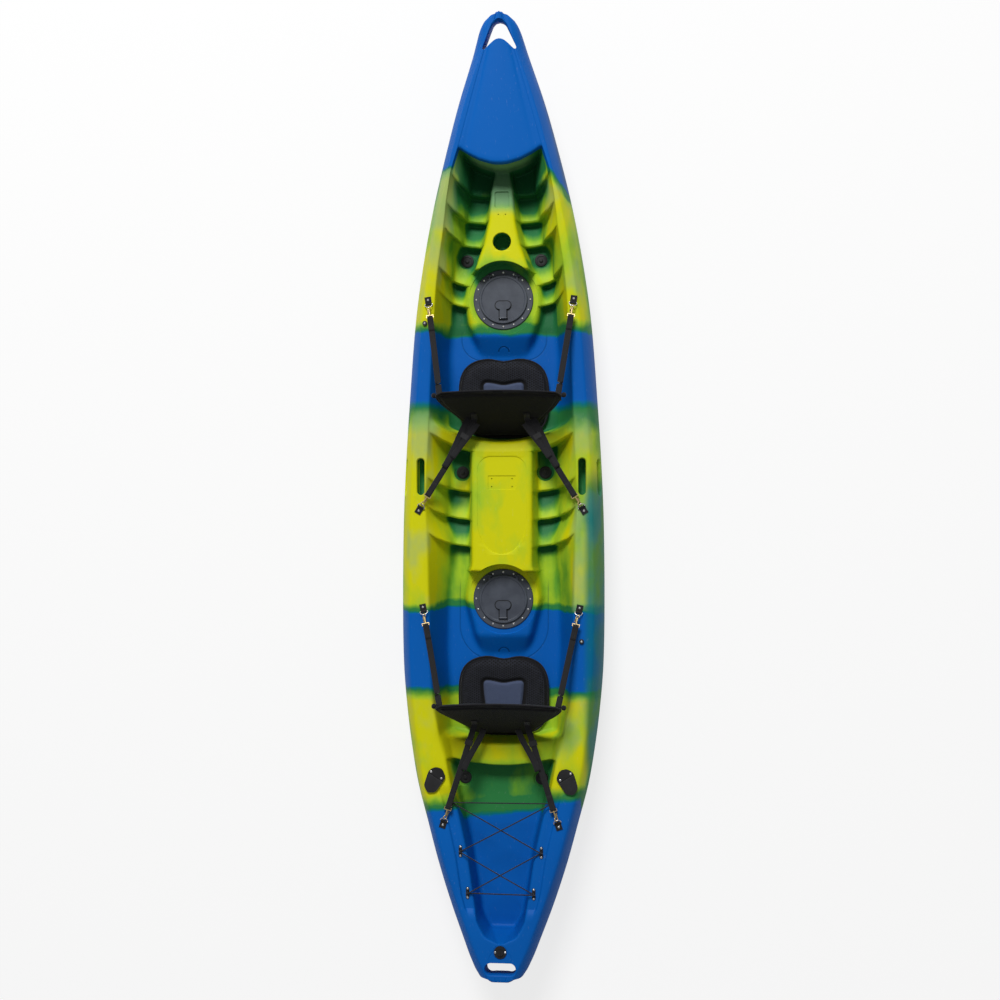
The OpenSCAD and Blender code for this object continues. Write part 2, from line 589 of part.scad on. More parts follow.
// Scupper plugs: a ribbed rubber stem under a flange with a pull boss
plug_l = 25;
plug_gap = 0.3;
plug_flange_r = scupper_r + 7;
module scupper_plug(e, p) {
    r = scupper_r - plug_gap;
    color("black") translate([e * p[0], p[1], scupper_z(p) + seat_gap]) rotate_extrude($fn = 64)
        polygon([[0, -plug_l], [r - 3, -plug_l], [r, 5 - plug_l], [r - 2, 9 - plug_l], [r, 15 - plug_l],
            [r - 2, -4], [r - 2, 0], [plug_flange_r, 0], [plug_flange_r, 2], [plug_flange_r - 2, 4],
            [plug_flange_r - 8, 5], [plug_flange_r - 10, 3], [9, 3], [8, 8], [6, 9], [0, 9]]);
}
module plug_front_left() { scupper_plug(-1, scuppers[0]); }
module plug_front_right() { scupper_plug(1, scuppers[0]); }
module plug_rear_left() { scupper_plug(-1, scuppers[1]); }
module plug_rear_right() { scupper_plug(1, scuppers[1]); }
module plug_well_left() { scupper_plug(-1, scuppers[2]); }
module plug_well_right() { scupper_plug(1, scuppers[2]); }

// Rod holders: the outline runs outboard along +X and to the bow along +Y
rod_x = 276;
rod_y = well_y(-1170);
rod_wall = 3;
rod_outline = [[46, -23], [26, 39], [0, 54], [-30, 47], [-46, 12], [-4, -50], [30, -53]];
rod_hinge = [0, 11];
rod_hinge_angle = 32;
rod_mouth = [16, -14];
rod_screws = [[15, 35], [-28, 8]];
rod_flange_t = 4;
rod_cap_t = 6;
rod_cap_gap = 1.6;
module at_rod_holder(e) {
    on_deck(e * rod_x, rod_y) mirror([e > 0 ? 0 : 1, 0, 0]) children();
}
module rod_tube(r, from, to) {
    translate([rod_mouth[0], rod_mouth[1], 0]) rotate([rod_rake, 0, 0]) translate([0, 0, from])
        cylinder(r = r, h = to - from);
}
module at_rod_hinge() {
    translate([rod_hinge[0], rod_hinge[1], rod_flange_t + rod_cap_t / 2 + seat_gap])
        rotate(rod_hinge_angle) children();
}
module rod_holder(e) {
    color("black") at_rod_holder(e) difference() {
        union() {
            linear_extrude(rod_flange_t) polygon(eased(rod_outline, 12));
            intersection() {
                rod_tube(rod_bore_r + rod_wall, -rod_depth, 40);
                translate([-100, -100, -300]) cube([200, 300, 300 + rod_flange_t]);
            }
            intersection() {
                linear_extrude(rod_flange_t + rod_cap_t) polygon(eased(rod_outline, 12));
                at_rod_hinge() translate([-80, rod_cap_t / 2 + rod_cap_gap, -20]) cube([160, 100, 60]);
            }
        }
        rod_tube(rod_bore_r, 4 - rod_depth, 40);
        for (s = rod_screws) translate([s[0], s[1], 0]) screw_hole();
    }
}
module rod_cap(e) {
    color("black") at_rod_holder(e) intersection() {
        translate([0, 0, rod_flange_t + seat_gap]) linear_extrude(rod_cap_t) polygon(eased(rod_outline, 12));
        at_rod_hinge() union() {
            translate([-80, -120, -20]) cube([160, 120, 60]);
            x_rod(0, 0, 0, rod_cap_t / 2, 160);
        }
    }
}
module rod_holder_left() { rod_holder(-1); }
module rod_holder_right() { rod_holder(1); }
module rod_cap_left() { rod_cap(-1); }
module rod_cap_right() { rod_cap(1); }

// Stern drain: a base let into the deck, and a threaded plug with its sealing ring
drain_y = -half_length + 125;
drain_recess = 2;
drain_base_r = 26;
drain_base_t = 4;
drain_boss_r = 14;
drain_bore_r = 8.1;
drain_plug_r = 8;
drain_cap_r = 13;
drain_ring_r = 1.5;
drain_screw_x = 20.5;
module at_drain() {
    on_deck(0, drain_y, drain_recess) children();
}
module drain_base() {
    color("black") at_drain() difference() {
        union() {
            cylinder(r = drain_base_r, h = drain_base_t);
            translate([0, 0, -20]) cylinder(r = drain_boss_r, h = 21);
        }
        translate([0, 0, -30]) cylinder(r = drain_bore_r, h = 60);
        for (a = [-1, 1]) translate([a * drain_screw_x, 0, 0]) screw_hole();
    }
}
module drain_plug() {
    color("black") at_drain() translate([0, 0, drain_base_t + 2 * drain_ring_r + seat_gap]) {
        translate([0, 0, -22]) cylinder(r = drain_plug_r, h = 22);
        cylinder(r = drain_cap_r, h = 4);
        translate([-2.5, -drain_cap_r + 2, 4]) cube([5, 2 * drain_cap_r - 4, 5]);
    }
}
module drain_o_ring() {
    color("black") at_drain() translate([0, 0, drain_base_t + drain_ring_r + seat_gap / 2])
        rotate_extrude($fn = 64) translate([drain_plug_r + drain_ring_r + 0.3, 0])
            circle(r = drain_ring_r, $fn = 24);
}

// Seat pads: a pillow with rounded edges, a sunken middle and two lobes at the front
pad_aft_t = 22;
pad_dish = 14;
// Each row is a ring of the pillow: how far it lies inside the outline, and its share of the thickness
pad_rows = [[6, 0], [1.5, 0.2], [0, 0.5], [3, 0.8], [9, 0.95], [18, 1], [60, 0.92], [105, 0.8]];
function power(v, n) = sign(v) * pow(abs(v), n);
function eased_step(u) = let (v = min(1, max(0, u))) v * v * (3 - 2 * v);
function pad_thick(y) = pad_aft_t + (pad_t - pad_aft_t) * eased_step((y - 40) / 90);
function pad_ring(row) = [for (a = [0:7.5:352.5])
    let (x = (pad_w / 2 - row[0]) * power(cos(a), 0.62), far = (pad_l / 2 - row[0]) * power(sin(a), 0.62),
         y = pad_l / 2 + far - (a < 180 ? pad_dish * exp(-pow(x / 45, 2)) * sin(a) : 0))
    [-x, y, pad_thick(y) * row[1]]];
module seat_pad(y) {
    color("black") translate([0, y, seat_z + seat_gap]) skin([for (row = pad_rows) pad_ring(row)]);
}
module front_seat_pad() { seat_pad(pad_front_y); }
module rear_seat_pad() { seat_pad(pad_rear_y); }

// Backrests: padded, winged, and rounded at the foot about the line they tilt on
back_r = 13;
back_y = 22;
back_z = seat_z + pad_aft_t + back_r + 2 * seat_gap;
back_wrap = -12;
back_wide = 256;
back_wrap_from = 120;
back_half_w = [[-13, 128], [15, 134], [60, 148], [150, 188], [230, 230], [290, 253], [320, 256], [360, 236]];
back_thick = [[0, 26], [60, 28], [150, 29], [240, 26], [305, 20], [360, 15]];
back_rows = [[-12.6, 0.25], [-11, 0.54], [-7, 0.84], [0, 1], [20, 1], [55, 1], [90, 1], [125, 1], [160, 1],
    [195, 1], [230, 1], [262, 1], [290, 1], [312, 0.95], [back_l - 10, 0.75],
    [back_l - 3, 0.5], [back_l, 0.25]];
function back_ring(row) =
    let (w = curve(row[0], back_half_w), t = lookup(row[0], back_thick) * row[1],
         wrap = back_wrap * eased_step(row[0] / back_wrap_from))
    [for (a = [0:9:351]) let (x = (w - (1 - row[1]) * 10) * power(cos(a), 0.5))
        [x, t / 2 * power(sin(a), 0.5) + wrap * pow(x / back_wide, 2), row[0]]];
module at_back(y) {
    translate([0, y + back_y, back_z]) rotate([-back_lean, 0, 0]) children();
}
module backrest(y) {
    color("black") at_back(y) skin([for (row = back_rows) back_ring(row)], true);
}
function back_point(y, p) = [p[0], y + back_y + p[1] * cos(back_lean) + p[2] * sin(back_lean),
    back_z - p[1] * sin(back_lean) + p[2] * cos(back_lean)];
module front_backrest() { backrest(pad_front_y); }
module rear_backrest() { backrest(pad_rear_y); }

// Seat anchors: screw place on the gunwale and the point of the backrest that the strap runs to
wing_point = [243, 3.2, 300];
spine_point = [110, -25, 150];
function flip(p, e) = [e * p[0], p[1], p[2]];
anchors = [for (a = [[304, 835, pad_front_y, wing_point], [346, -45, pad_front_y, spine_point],
        [328, -449, pad_rear_y, wing_point], [242, well_y(-1356), pad_rear_y, spine_point]], e = [-1, 1])
    [e * a[0], a[1], back_point(a[2], flip(a[3], e))]];
tab_w = 27;
tab_l = 31;
tab_t = 3.5;
tab_fold_y = 18;
tab_fold_z = 5;
tab_fold_r = 4;
ring_bar_r = 1.75;
ring_r = 16;
ring_lift = 35;
claw_r = 8;
claw_bar_r = 2.2;
claw_roll = 45;
claw_gap = 0.3;
hook_eye_y = 37;
hook_eye_rim = 2;
hook_eye_l = 12;
hook_l = 44;
hook_body_r = 3.4;
bolt_r = 1.8;
bolt_gap = 0.3;
bolt_l = 25.6;
bolt_travel = 6;
// Turn of an anchor in plan, the tip of its D-ring and the rise of its strap
function aim(a) = atan2(a[0] - a[2][0], a[2][1] - a[1]);
function turned(p, b) = [p[0] * cos(b) - p[1] * sin(b), p[0] * sin(b) + p[1] * cos(b), p[2]];
function pitched(p, b) = [p[0], p[1] * cos(b) - p[2] * sin(b), p[1] * sin(b) + p[2] * cos(b)];
function ring_tip(a) = [a[0], a[1], sheer_at(a[1]) + seat_gap] + pitched(turned([0,
    tab_fold_y + ring_r * cos(ring_lift), tab_fold_z + ring_r * sin(ring_lift)], aim(a)), pitch_at(a[1]));
function rise(a) = let (d = a[2] - ring_tip(a)) atan2(d[2], norm([d[0], d[1]]));
function along(a, s) = ring_tip(a) + s * turned([0, cos(rise(a)), sin(rise(a))], aim(a));
claw_offset = claw_r - claw_bar_r - ring_bar_r - claw_gap;
module at_anchor(a) {
    on_deck(a[0], a[1]) rotate(aim(a)) children();
}
module at_hook(a) {
    translate(along(a, claw_offset)) rotate([rise(a), 0, aim(a)]) children();
}
module anchor_tabs() {
    color("black") for (a = anchors) at_anchor(a) difference() {
        union() {
            translate([-tab_w / 2, tab_fold_y - tab_l, 0]) cube([tab_w, tab_l, tab_t]);
            x_rod(0, tab_fold_y, tab_fold_z, tab_fold_r, tab_w);
        }
        x_rod(0, tab_fold_y, tab_fold_z, ring_bar_r + bolt_gap, 60);
        screw_hole();
    }
}
module d_rings() {
    color("silver") for (a = anchors) at_anchor(a) translate([0, tab_fold_y, tab_fold_z])
        rotate([ring_lift, 0, 0]) {
            rotate_extrude(angle = 180, $fn = 64) translate([ring_r, 0]) circle(r = ring_bar_r, $fn = 24);
            x_rod(0, 0, 0, ring_bar_r, 2 * ring_r);
            for (e = [-1, 1]) translate([e * ring_r, 0, 0]) sphere(r = ring_bar_r, $fn = 24);
        }
}
module snap_hooks() {
    color("goldenrod") for (a = anchors) at_hook(a) {
        rotate([0, claw_roll, 0]) difference() {
            union() {
                rotate(68) rotate_extrude(angle = 284, $fn = 48) translate([claw_r, 0])
                    circle(r = claw_bar_r, $fn = 24);
                translate([0, claw_r - 2, 0]) rotate([-90, 0, 0])
                    cylinder(r = hook_body_r, h = hook_eye_y - 9);
                translate([0, 11, -hook_body_r]) cube([claw_r, 9, 2 * hook_body_r]);
                translate([claw_r, 11, 0]) rotate([-90, 0, 0]) cylinder(r = hook_body_r, h = 9);
            }
            translate([claw_r, 0, 0]) rotate([-90, 0, 0]) cylinder(r = bolt_r + bolt_gap, h = 60, $fn = 32);
        }
        difference() {
            translate([-strap_w / 2 - 1 - hook_eye_rim, hook_l - hook_eye_l, -2])
                cube([strap_w + 2 + 2 * hook_eye_rim, hook_eye_l, 4]);
            translate([-strap_w / 2 - 1, hook_eye_y - 2, -5]) cube([strap_w + 2, 5, 10]);
        }
    }
}
module snap_bolt(a) {
    color("goldenrod") at_hook(a) rotate([0, claw_roll, 0]) translate([claw_r, -0.6, 0]) {
        rotate([-90, 0, 0]) cylinder(r = bolt_r, h = bolt_l, $fn = 32);
        translate([0, bolt_l - 2, 0]) rotate([0, 90, 0]) cylinder(r = 1.5, h = 7, $fn = 32);
    }
}
module bolt_front_fore_left() { snap_bolt(anchors[0]); }
module bolt_front_fore_right() { snap_bolt(anchors[1]); }
module bolt_front_aft_left() { snap_bolt(anchors[2]); }
module bolt_front_aft_right() { snap_bolt(anchors[3]); }
module bolt_rear_fore_left() { snap_bolt(anchors[4]); }
module bolt_rear_fore_right() { snap_bolt(anchors[5]); }
module bolt_rear_aft_left() { snap_bolt(anchors[6]); }
module bolt_rear_aft_right() { snap_bolt(anchors[7]); }

// Straps: flat webbing from the eye of each hook to the backrest, with a little slack
strap_t = 2;
strap_slack = 6;
strap_rings = 8;
function strap_from(a) = along(a, claw_offset + hook_l + seat_gap);
function strap_at(a, u) = strap_from(a) * (1 - u) + a[2] * u - [0, 0, strap_slack * 4 * u * (1 - u)];
function strap_ring(a, u) =
    let (p = strap_at(a, u), across = turned([strap_w / 2, 0, 0], aim(a)), up = [0, 0, strap_t / 2])
    [p - across - up, p - across + up, p + across + up, p + across - up];
module strap(a) {
    color("black") skin([for (k = [0:strap_rings]) strap_ring(a, k / strap_rings)]);
}
module strap_front_fore_left() { strap(anchors[0]); }
module strap_front_fore_right() { strap(anchors[1]); }
module strap_front_aft_left() { strap(anchors[2]); }
module strap_front_aft_right() { strap(anchors[3]); }
module strap_rear_fore_left() { strap(anchors[4]); }
module strap_rear_fore_right() { strap(anchors[5]); }
module strap_rear_aft_left() { strap(anchors[6]); }
module strap_rear_aft_right() { strap(anchors[7]); }

// Ladder-lock buckles round the straps that run aft
buckle_share = 0.78;
buckle_rim = 4;
buckle_l = 22;
buckle_t = 8;
buckle_gap = 0.8;
module strap_buckle(a) {
    color("black") translate(strap_at(a, buckle_share)) rotate([rise(a), 0, aim(a)]) difference() {
        cube([strap_w + 2 * buckle_rim, buckle_l, buckle_t], center = true);
        cube([strap_w + 2 * buckle_gap, 2 * buckle_l, strap_t + 2 * buckle_gap], center = true);
    }
}
module front_strap_buckles() { for (i = [2, 3]) strap_buckle(anchors[i]); }
module rear_strap_buckles() { for (i = [6, 7]) strap_buckle(anchors[i]); }

// Deck eyes beside the tank well, and the bungee laced across through them
eye_rows = [[210, well_y(-1263)], [169, well_y(-1467)], [138, well_y(-1638)]];
eye_l = 50;
eye_w = 14;
eye_t = 2;
eye_r = 8;
eye_bar_r = 2.4;
eye_screw_y = 18.5;
module at_eyes() {
    for (p = eye_rows, e = [-1, 1]) on_deck(e * p[0], p[1], ledge_h) children();
}
module deck_eyes() {
    color("black") at_eyes() difference() {
        union() {
            linear_extrude(eye_t) {
                square([eye_w, eye_l - eye_w], center = true);
                for (b = [-1, 1]) translate([0, b * (eye_l - eye_w) / 2]) circle(d = eye_w);
            }
            translate([0, 0, eye_t - 0.5]) rotate([0, -90, 0]) rotate(-90)
                rotate_extrude(angle = 180, $fn = 48) translate([eye_r + 0.5, 0])
                    circle(r = eye_bar_r, $fn = 24);
        }
        for (b = [-1, 1]) translate([0, b * eye_screw_y, 0]) screw_hole();
    }
}
bungee_order = [[-1, 0], [1, 0], [-1, 1], [1, 2], [-1, 2], [1, 1]];
// Lift of each run where it crosses another, and how far the cord stands off the bar of an eye
bungee_lift = [0, 4, 4, 0, -4, -4];
bungee_off = eye_bar_r + bungee_r + seat_gap;
bungee_steps = 7;
bungee_sides = 8;
function eye_top(i) = let (o = bungee_order[i % 6], p = eye_rows[o[1]])
    [o[0] * p[0], p[1], sheer_at(p[1]) - ledge_h + seat_gap + eye_t + eye_r];
function run_point(i, u) = let (a = eye_top(i) + [0, 0, bungee_off], b = eye_top(i + 1) - [0, 0, bungee_off])
    a * (1 - u) + b * u + [0, 0, bungee_lift[i] * sin(180 * u)];
function turn_points(i) = let (e = bungee_order[i][0], p = eye_top(i)) [for (b = [-45, 0, 45])
    p + [e * bungee_off * cos(b), 0, bungee_off * sin(b)]];
function run_points(i) = [for (k = [0:bungee_steps]) run_point(i, k / bungee_steps)];
bungee_route = [for (i = [0:5]) each concat(turn_points(i), run_points(i))];
function unit(v) = v / norm(v);
function tube_ring(path, i, r, sides) =
    let (n = len(path), t = unit(path[(i + 1) % n] - path[(i + n - 1) % n]),
        across = unit(cross(t, [0, 1, 0.01])), up = cross(across, t))
    [for (k = [0:sides - 1]) path[i] + r * (cos(360 * k / sides) * across + sin(360 * k / sides) * up)];
module closed_tube(path, r, sides) {
    n = len(path);
    faces = [for (i = [0:n - 1], j = [0:sides - 1])
        let (a = i * sides + j, b = i * sides + (j + 1) % sides, c = ((i + 1) % n) * sides + j,
             d = ((i + 1) % n) * sides + (j + 1) % sides)
        each [[a, d, b], [a, c, d]]];
    polyhedron([for (i = [0:n - 1]) each tube_ring(path, i, r, sides)], faces);
}
module bungee() {
    color("black") closed_tube(bungee_route, bungee_r, bungee_sides);
}

// Paddle-keeper buttons
keepers = [[-318, 739], [336, -588]];
keeper_r = 10;
keeper_h = 8;
module paddle_keepers() {
    color("black") for (p = keepers) on_deck(p[0], p[1]) difference() {
        rotate_extrude($fn = 48) polygon([[0, 0], [keeper_r, 0], [keeper_r, 1.5], [keeper_r - 3, 3],
            [keeper_r - 3, 5], [keeper_r, 6], [keeper_r - 1, keeper_h], [0, keeper_h]]);
        screw_hole();
    }
}

// Every screw that holds a deck fitting
module deck_screw(z, length) {
    translate([0, 0, z + seat_gap]) pan_screw(4.5, 2.6, deck_screw_r, length);
}
module deck_screws() {
    color("gainsboro") {
        for (a = anchors) at_anchor(a) deck_screw(tab_t, deck_screw_l + tab_t);
        at_eyes() for (b = [-1, 1]) translate([0, b * eye_screw_y, 0])
            deck_screw(eye_t, deck_screw_l + eye_t);
        for (e = [-1, 1]) at_rod_holder(e) for (s = rod_screws) translate([s[0], s[1], 0])
            deck_screw(rod_flange_t + rod_cap_t, deck_screw_l + rod_flange_t + rod_cap_t);
        at_drain() for (e = [-1, 1]) translate([e * drain_screw_x, 0, 0])
            deck_screw(drain_base_t, deck_screw_l);
        for (p = keepers) on_deck(p[0], p[1]) deck_screw(keeper_h, deck_screw_l + keeper_h);
    }
}

hull_shell();
front_hatch_ring();
front_hatch_seal();
front_hatch_lid();
front_hinge_pins();
front_latch();
front_latch_pin();
front_hatch_screws();
rear_hatch_ring();
rear_hatch_seal();
rear_hatch_lid();
rear_hinge_pins();
rear_latch();
rear_latch_pin();
rear_hatch_screws();
plug_front_left();
plug_front_right();
plug_rear_left();
plug_rear_right();
plug_well_left();
plug_well_right();
rod_holder_left();
rod_holder_right();
rod_cap_left();
rod_cap_right();
drain_base();
drain_plug();
drain_o_ring();
front_seat_pad();
rear_seat_pad();
front_backrest();
rear_backrest();
strap_front_fore_left();
strap_front_fore_right();
strap_front_aft_left();
strap_front_aft_right();
strap_rear_fore_left();
strap_rear_fore_right();
strap_rear_aft_left();
strap_rear_aft_right();
front_strap_buckles();
rear_strap_buckles();
anchor_tabs();
d_rings();
snap_hooks();
bolt_front_fore_left();
bolt_front_fore_right();
bolt_front_aft_left();
bolt_front_aft_right();
bolt_rear_fore_left();
bolt_rear_fore_right();
bolt_rear_aft_left();
bolt_rear_aft_right();
deck_screws();
deck_eyes();
bungee();
paddle_keepers();
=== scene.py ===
import json
import math

import bmesh
import bpy
import numpy as np
from mathutils import Matrix


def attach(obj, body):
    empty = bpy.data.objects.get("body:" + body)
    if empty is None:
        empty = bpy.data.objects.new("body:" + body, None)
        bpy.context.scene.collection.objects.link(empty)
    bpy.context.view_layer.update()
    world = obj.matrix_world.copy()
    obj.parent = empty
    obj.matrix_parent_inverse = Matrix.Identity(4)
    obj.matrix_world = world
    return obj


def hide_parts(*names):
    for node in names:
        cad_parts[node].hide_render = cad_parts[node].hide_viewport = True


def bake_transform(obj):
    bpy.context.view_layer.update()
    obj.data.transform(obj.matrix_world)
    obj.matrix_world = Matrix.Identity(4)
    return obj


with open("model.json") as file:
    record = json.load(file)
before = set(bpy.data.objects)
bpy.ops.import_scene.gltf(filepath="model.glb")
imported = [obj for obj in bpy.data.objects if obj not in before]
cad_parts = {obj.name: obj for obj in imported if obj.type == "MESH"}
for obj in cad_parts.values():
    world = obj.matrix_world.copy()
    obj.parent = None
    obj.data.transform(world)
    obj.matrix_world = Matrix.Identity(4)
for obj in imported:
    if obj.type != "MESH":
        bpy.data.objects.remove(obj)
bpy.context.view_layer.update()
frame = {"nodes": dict(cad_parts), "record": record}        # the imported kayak; lengths below are millimetres until a mesh is made
nodes = frame["nodes"]
mm = 0.001
scene = bpy.context.scene
print("frame loaded,", len(nodes), "nodes")

# sizes and places of the hull
kayak = {
    "halfLength": 2000, "halfBeam": 431, "gunwale": 290, "bowRise": 110, "sternRise": 48,
    "shoulder": 48, "shoulderShare": 0.42, "rimGap": 6, "crown": 12, "fin": 26, "stationGap": 28,
    "footwell": 104, "seat": 115, "console": 248, "hatch": 160, "ridge": 235, "well": 152, "step": 50,
    "lip": 1390, "frontHatch": 855, "rearHatch": -422, "frontBack": 262, "rearBack": -1012,
    "wellFront": -1120, "wellAft": -1842, "wellRise": 8, "wallRun": 8, "seatSlope": 20, "ridgeRun": 38,
    "hatchStep": 6, "hatchFlat": 156, "hatchRecess": 150, "frontTongue": 613, "rearTongue": -661,
    # how far each console reaches into its hatch recess, and where the front seat floor ends
    "frontOverlap": 42, "rearOverlap": 38, "seatEnd": 120,
    # the front console falls away toward the lip, and the footwell rises to it
    "noseRun": 90, "noseDrop": 8, "noseFall": 30, "toeRise": 12,
    "ledgeDrop": 12, "ledgeWidth": 46, "ledgeFrom": -1705, "ledgeTo": -1205,
    "rearSteps": [-200, -85, 35], "frontSteps": [825, 915, 1080, 1185, 1300],
    "cupPlace": 1088, "handlePlace": (338, 97),
}


# Shaders

class Wire:
    # one socket of a node tree; sums on it add Math nodes
    def __init__(self, finish, socket):
        self.finish = finish
        self.socket = socket

    def math(self, operation, *terms):
        return self.finish.node("ShaderNodeMath", {"operation": operation}, dict(enumerate(terms)))

    def __add__(self, other):
        return self.math("ADD", self, other)

    def __sub__(self, other):
        return self.math("SUBTRACT", self, other)

    def __rsub__(self, other):
        return self.math("SUBTRACT", other, self)

    def __mul__(self, other):
        return self.math("MULTIPLY", self, other)

    def __truediv__(self, other):
        return self.math("DIVIDE", self, other)

    def __abs__(self):
        return self.math("ABSOLUTE", self)

    __radd__ = __add__
    __rmul__ = __mul__

    def sine(self):
        return self.math("SINE", self)

    def root(self):
        return self.math("SQRT", self)

    def least(self, other):
        return self.math("MINIMUM", self, other)

    def most(self, other):
        return self.math("MAXIMUM", self, other)

    def rise(self, low, high):
        # 0 below low, 1 above high, smooth between
        settings = {"interpolation_type": "SMOOTHSTEP"}
        inputs = {"Value": self, "From Min": low, "From Max": high}
        return self.finish.node("ShaderNodeMapRange", settings, inputs)


class Finish:
    # a material round one Principled shader; constants go straight on its sockets
    def __init__(self, name, constants):
        self.material = bpy.data.materials.new(name)
        self.material.use_nodes = True
        self.tree = self.material.node_tree
        self.shader = self.tree.nodes["Principled BSDF"]
        for socket, value in constants.items():
            self.shader.inputs[socket].default_value = value
        self.place = self.node("ShaderNodeTexCoord", {}, {}, "Object")

    def node(self, kind, settings, inputs, output=0):
        node = self.tree.nodes.new(kind)
        for key, value in settings.items():
            if key == "stops":
                self.setStops(node.color_ramp, value)
            else:
                setattr(node, key, value)
        for key, value in inputs.items():
            self.feed(node.inputs[key], value)
        return Wire(self, node.outputs[output])

    def feed(self, socket, value):
        if isinstance(value, Wire):
            self.tree.links.new(value.socket, socket)
        else:
            socket.default_value = value

    def setStops(self, ramp, stops):
        while len(ramp.elements) < len(stops):
            ramp.elements.new(1.0)
        for element, (position, colour) in zip(ramp.elements, stops):
            element.position = position
            element.color = colour

    def axes(self, vector):
        x = self.node("ShaderNodeSeparateXYZ", {}, {"Vector": vector}, "X")
        outputs = x.socket.node.outputs
        return x, Wire(self, outputs["Y"]), Wire(self, outputs["Z"])

    def noise(self, scale, detail=3.0, stretch=(1, 1, 1), shift=(0, 0, 0)):
        where = self.node("ShaderNodeVectorMath", {"operation": "MULTIPLY_ADD"},
                          {0: self.place, 1: stretch, 2: shift})
        return self.node("ShaderNodeTexNoise", {}, {"Vector": where, "Scale": scale, "Detail": detail})

    def mix(self, factor, first, second):
        return self.node("ShaderNodeMix", {"data_type": "RGBA"}, {0: factor, 6: first, 7: second}, 2)

    def ramp(self, value, stops):
        return self.node("ShaderNodeValToRGB", {"stops": stops}, {"Fac": value})

    def surface(self, **links):
        names = {"colour": "Base Color", "roughness": "Roughness", "normal": "Normal"}
        for key, value in links.items():
            self.feed(self.shader.inputs[names[key]], value)

    def relief(self, height, depth):
        # depth in millimetres for a height of 1
        bump = self.node("ShaderNodeBump", {}, {"Strength": 1.0, "Distance": depth * mm, "Height": height})
        self.surface(normal=bump)


def paint(red, green, blue):
    # a colour as it is seen, 0 to 255, turned into the light values that a shader takes
    seen = np.array([red, green, blue]) / 255
    light = np.where(seen <= 0.04045, seen / 12.92, ((seen + 0.055) / 1.055) ** 2.4)
    return (*light.tolist(), 1.0)


hullFinish = {
    "blue": paint(2, 94, 180), "deepBlue": paint(0, 76, 154), "teal": paint(0, 108, 118),
    "green": paint(34, 118, 66), "leaf": paint(100, 156, 44), "lime": paint(162, 194, 40),
    "yellow": paint(203, 203, 10), "haze": paint(132, 168, 124), "shade": paint(4, 62, 50),
    "scuff": (0.75, 0.8, 0.8, 1), "grooveShade": (0.0, 0.02, 0.05, 1),
    # the colours from a band's edge inward, and the tone at which each is reached
    "climb": {"blue": 0.0, "teal": 0.12, "green": 0.24, "leaf": 0.46, "lime": 0.70, "yellow": 0.95},
    # stretches of the hull that are not blue: aft edge, bow edge, and how slowly each turns to yellow
    "bands": [(696, 1390, 60, 50), (-474, 414, 40, 140), (-1284, -790, 80, 55)],
    "ragged": 22, "slant": 0.09, "marbling": 1.3, "leastTone": 0.26,
    # how far a zone moves the edges of the bands, and how much tone a zone takes away
    "moves": {"underLip": -95, "bowRight": 110, "wellWall": 60},
    # the losses inside the bow, on the left inner wall, under the lip, on the wall at the bow side of the
    # front hatch, in the handle slots and in the cup are painted shade; those low down and in the well are
    # part colour, part painted shade
    "losses": {"low": 0.2, "bowInsideShade": 0.6, "leftInsideShade": 0.35, "lipShade": 0.7, "wellDeep": 0.45,
               "right": 0.22, "crescentShade": 0.4, "consoleAft": 0.28, "greyed": 0.3, "handle": 0.8, "cup": 0.8},
    # moulded lines in the seat floors: place and radius of a half ring, then a tongue's half-width, aft end,
    # corner and bow end
    "arches": [(634, 22), (-655, 22)], "tongues": [(183, 600, 88, 740), (190, -690, 150, -330)],
}

# a zone is where all its steps are complete; a step has an axis, where it starts and where it is complete
consoleSteps = [("half", 150, 95), ("y", 700, 750)]
lipSteps = [("z", 340, 324), ("y", 1200, 1350), ("half", 200, 184)]
# several zones mark painted shade: inside the bow, on the left inner wall, under the lip, on the wall at the
# bow side of the front hatch, in the scoops, in the handle slots and in the cup
hullZones = {
    "aft": [("y", -900, -1100)], "right": [("x", 100, 340)], "low": [("z", 270, 200)],
    "floor": [("z", 152, 118)], "scoopShade": [("z", 145, 108)], "raised": [("z", 250, 285)],
    "underLip": lipSteps, "lipShade": lipSteps + [("y", 1330, 1380)],
    "bowRight": [("x", 160, 300), ("y", 1150, 1250)],
    "bowLeft": [("x", -150, -210), ("y", 1090, 1160), ("z", 250, 285)],
    "bowInsideShade": [("z", 320, 270), ("y", 1180, 1320)],
    "bowScoopShade": [("z", 310, 220), ("y", 1240, 1360)],
    "leftInsideShade": [("z", 320, 270), ("x", -80, -160), ("y", 980, 1080)],
    "wellWall": [("z", 270, 210), ("y", -1050, -1150)],
    "wellDeep": [("z", 270, 210), ("y", -1080, -1130)],
    "seatFloor": [("y", -720, -800), ("y", -1100, -1050)],
    "besideHatch": [("y", -200, -250), ("y", -540, -480)],
    "greyed": consoleSteps + [("z", 200, 230), ("y", 1190, 1260)],
    "crescentShade": consoleSteps + [("z", 242, 220), ("y", 900, 940), ("y", 1030, 1000)],
    "consoleAft": consoleSteps + [("y", 1050, 980)],
    "handle": [("handleX", 17, 14), ("handleY", 80, 74), ("z", 286, 270)],
    "cup": [("cup", 44, 40), ("z", 242, 230)],
    "flank": [("x", 335, 372), ("y", 160, 40), ("y", -1200, -1080)],
    "seatLines": [("z", 240, 220), ("z", 70, 80)],
}


def makeZones(x, y, z):
    # a wire for each zone, 1 inside it and 0 outside
    handleX, handleY = kayak["handlePlace"]
    up = y - kayak["cupPlace"]
    axes = {"x": x, "y": y, "z": z, "half": abs(x), "cup": (x * x + up * up).root(),
            "handleX": abs(abs(x) - handleX), "handleY": abs(y - handleY)}
    return {name: math.prod(axes[axis].rise(start, end) for axis, start, end in steps)
            for name, steps in hullZones.items()}


def highest(wires):
    best = wires[0]
    for wire in wires[1:]:
        best = best.most(wire)
    return best


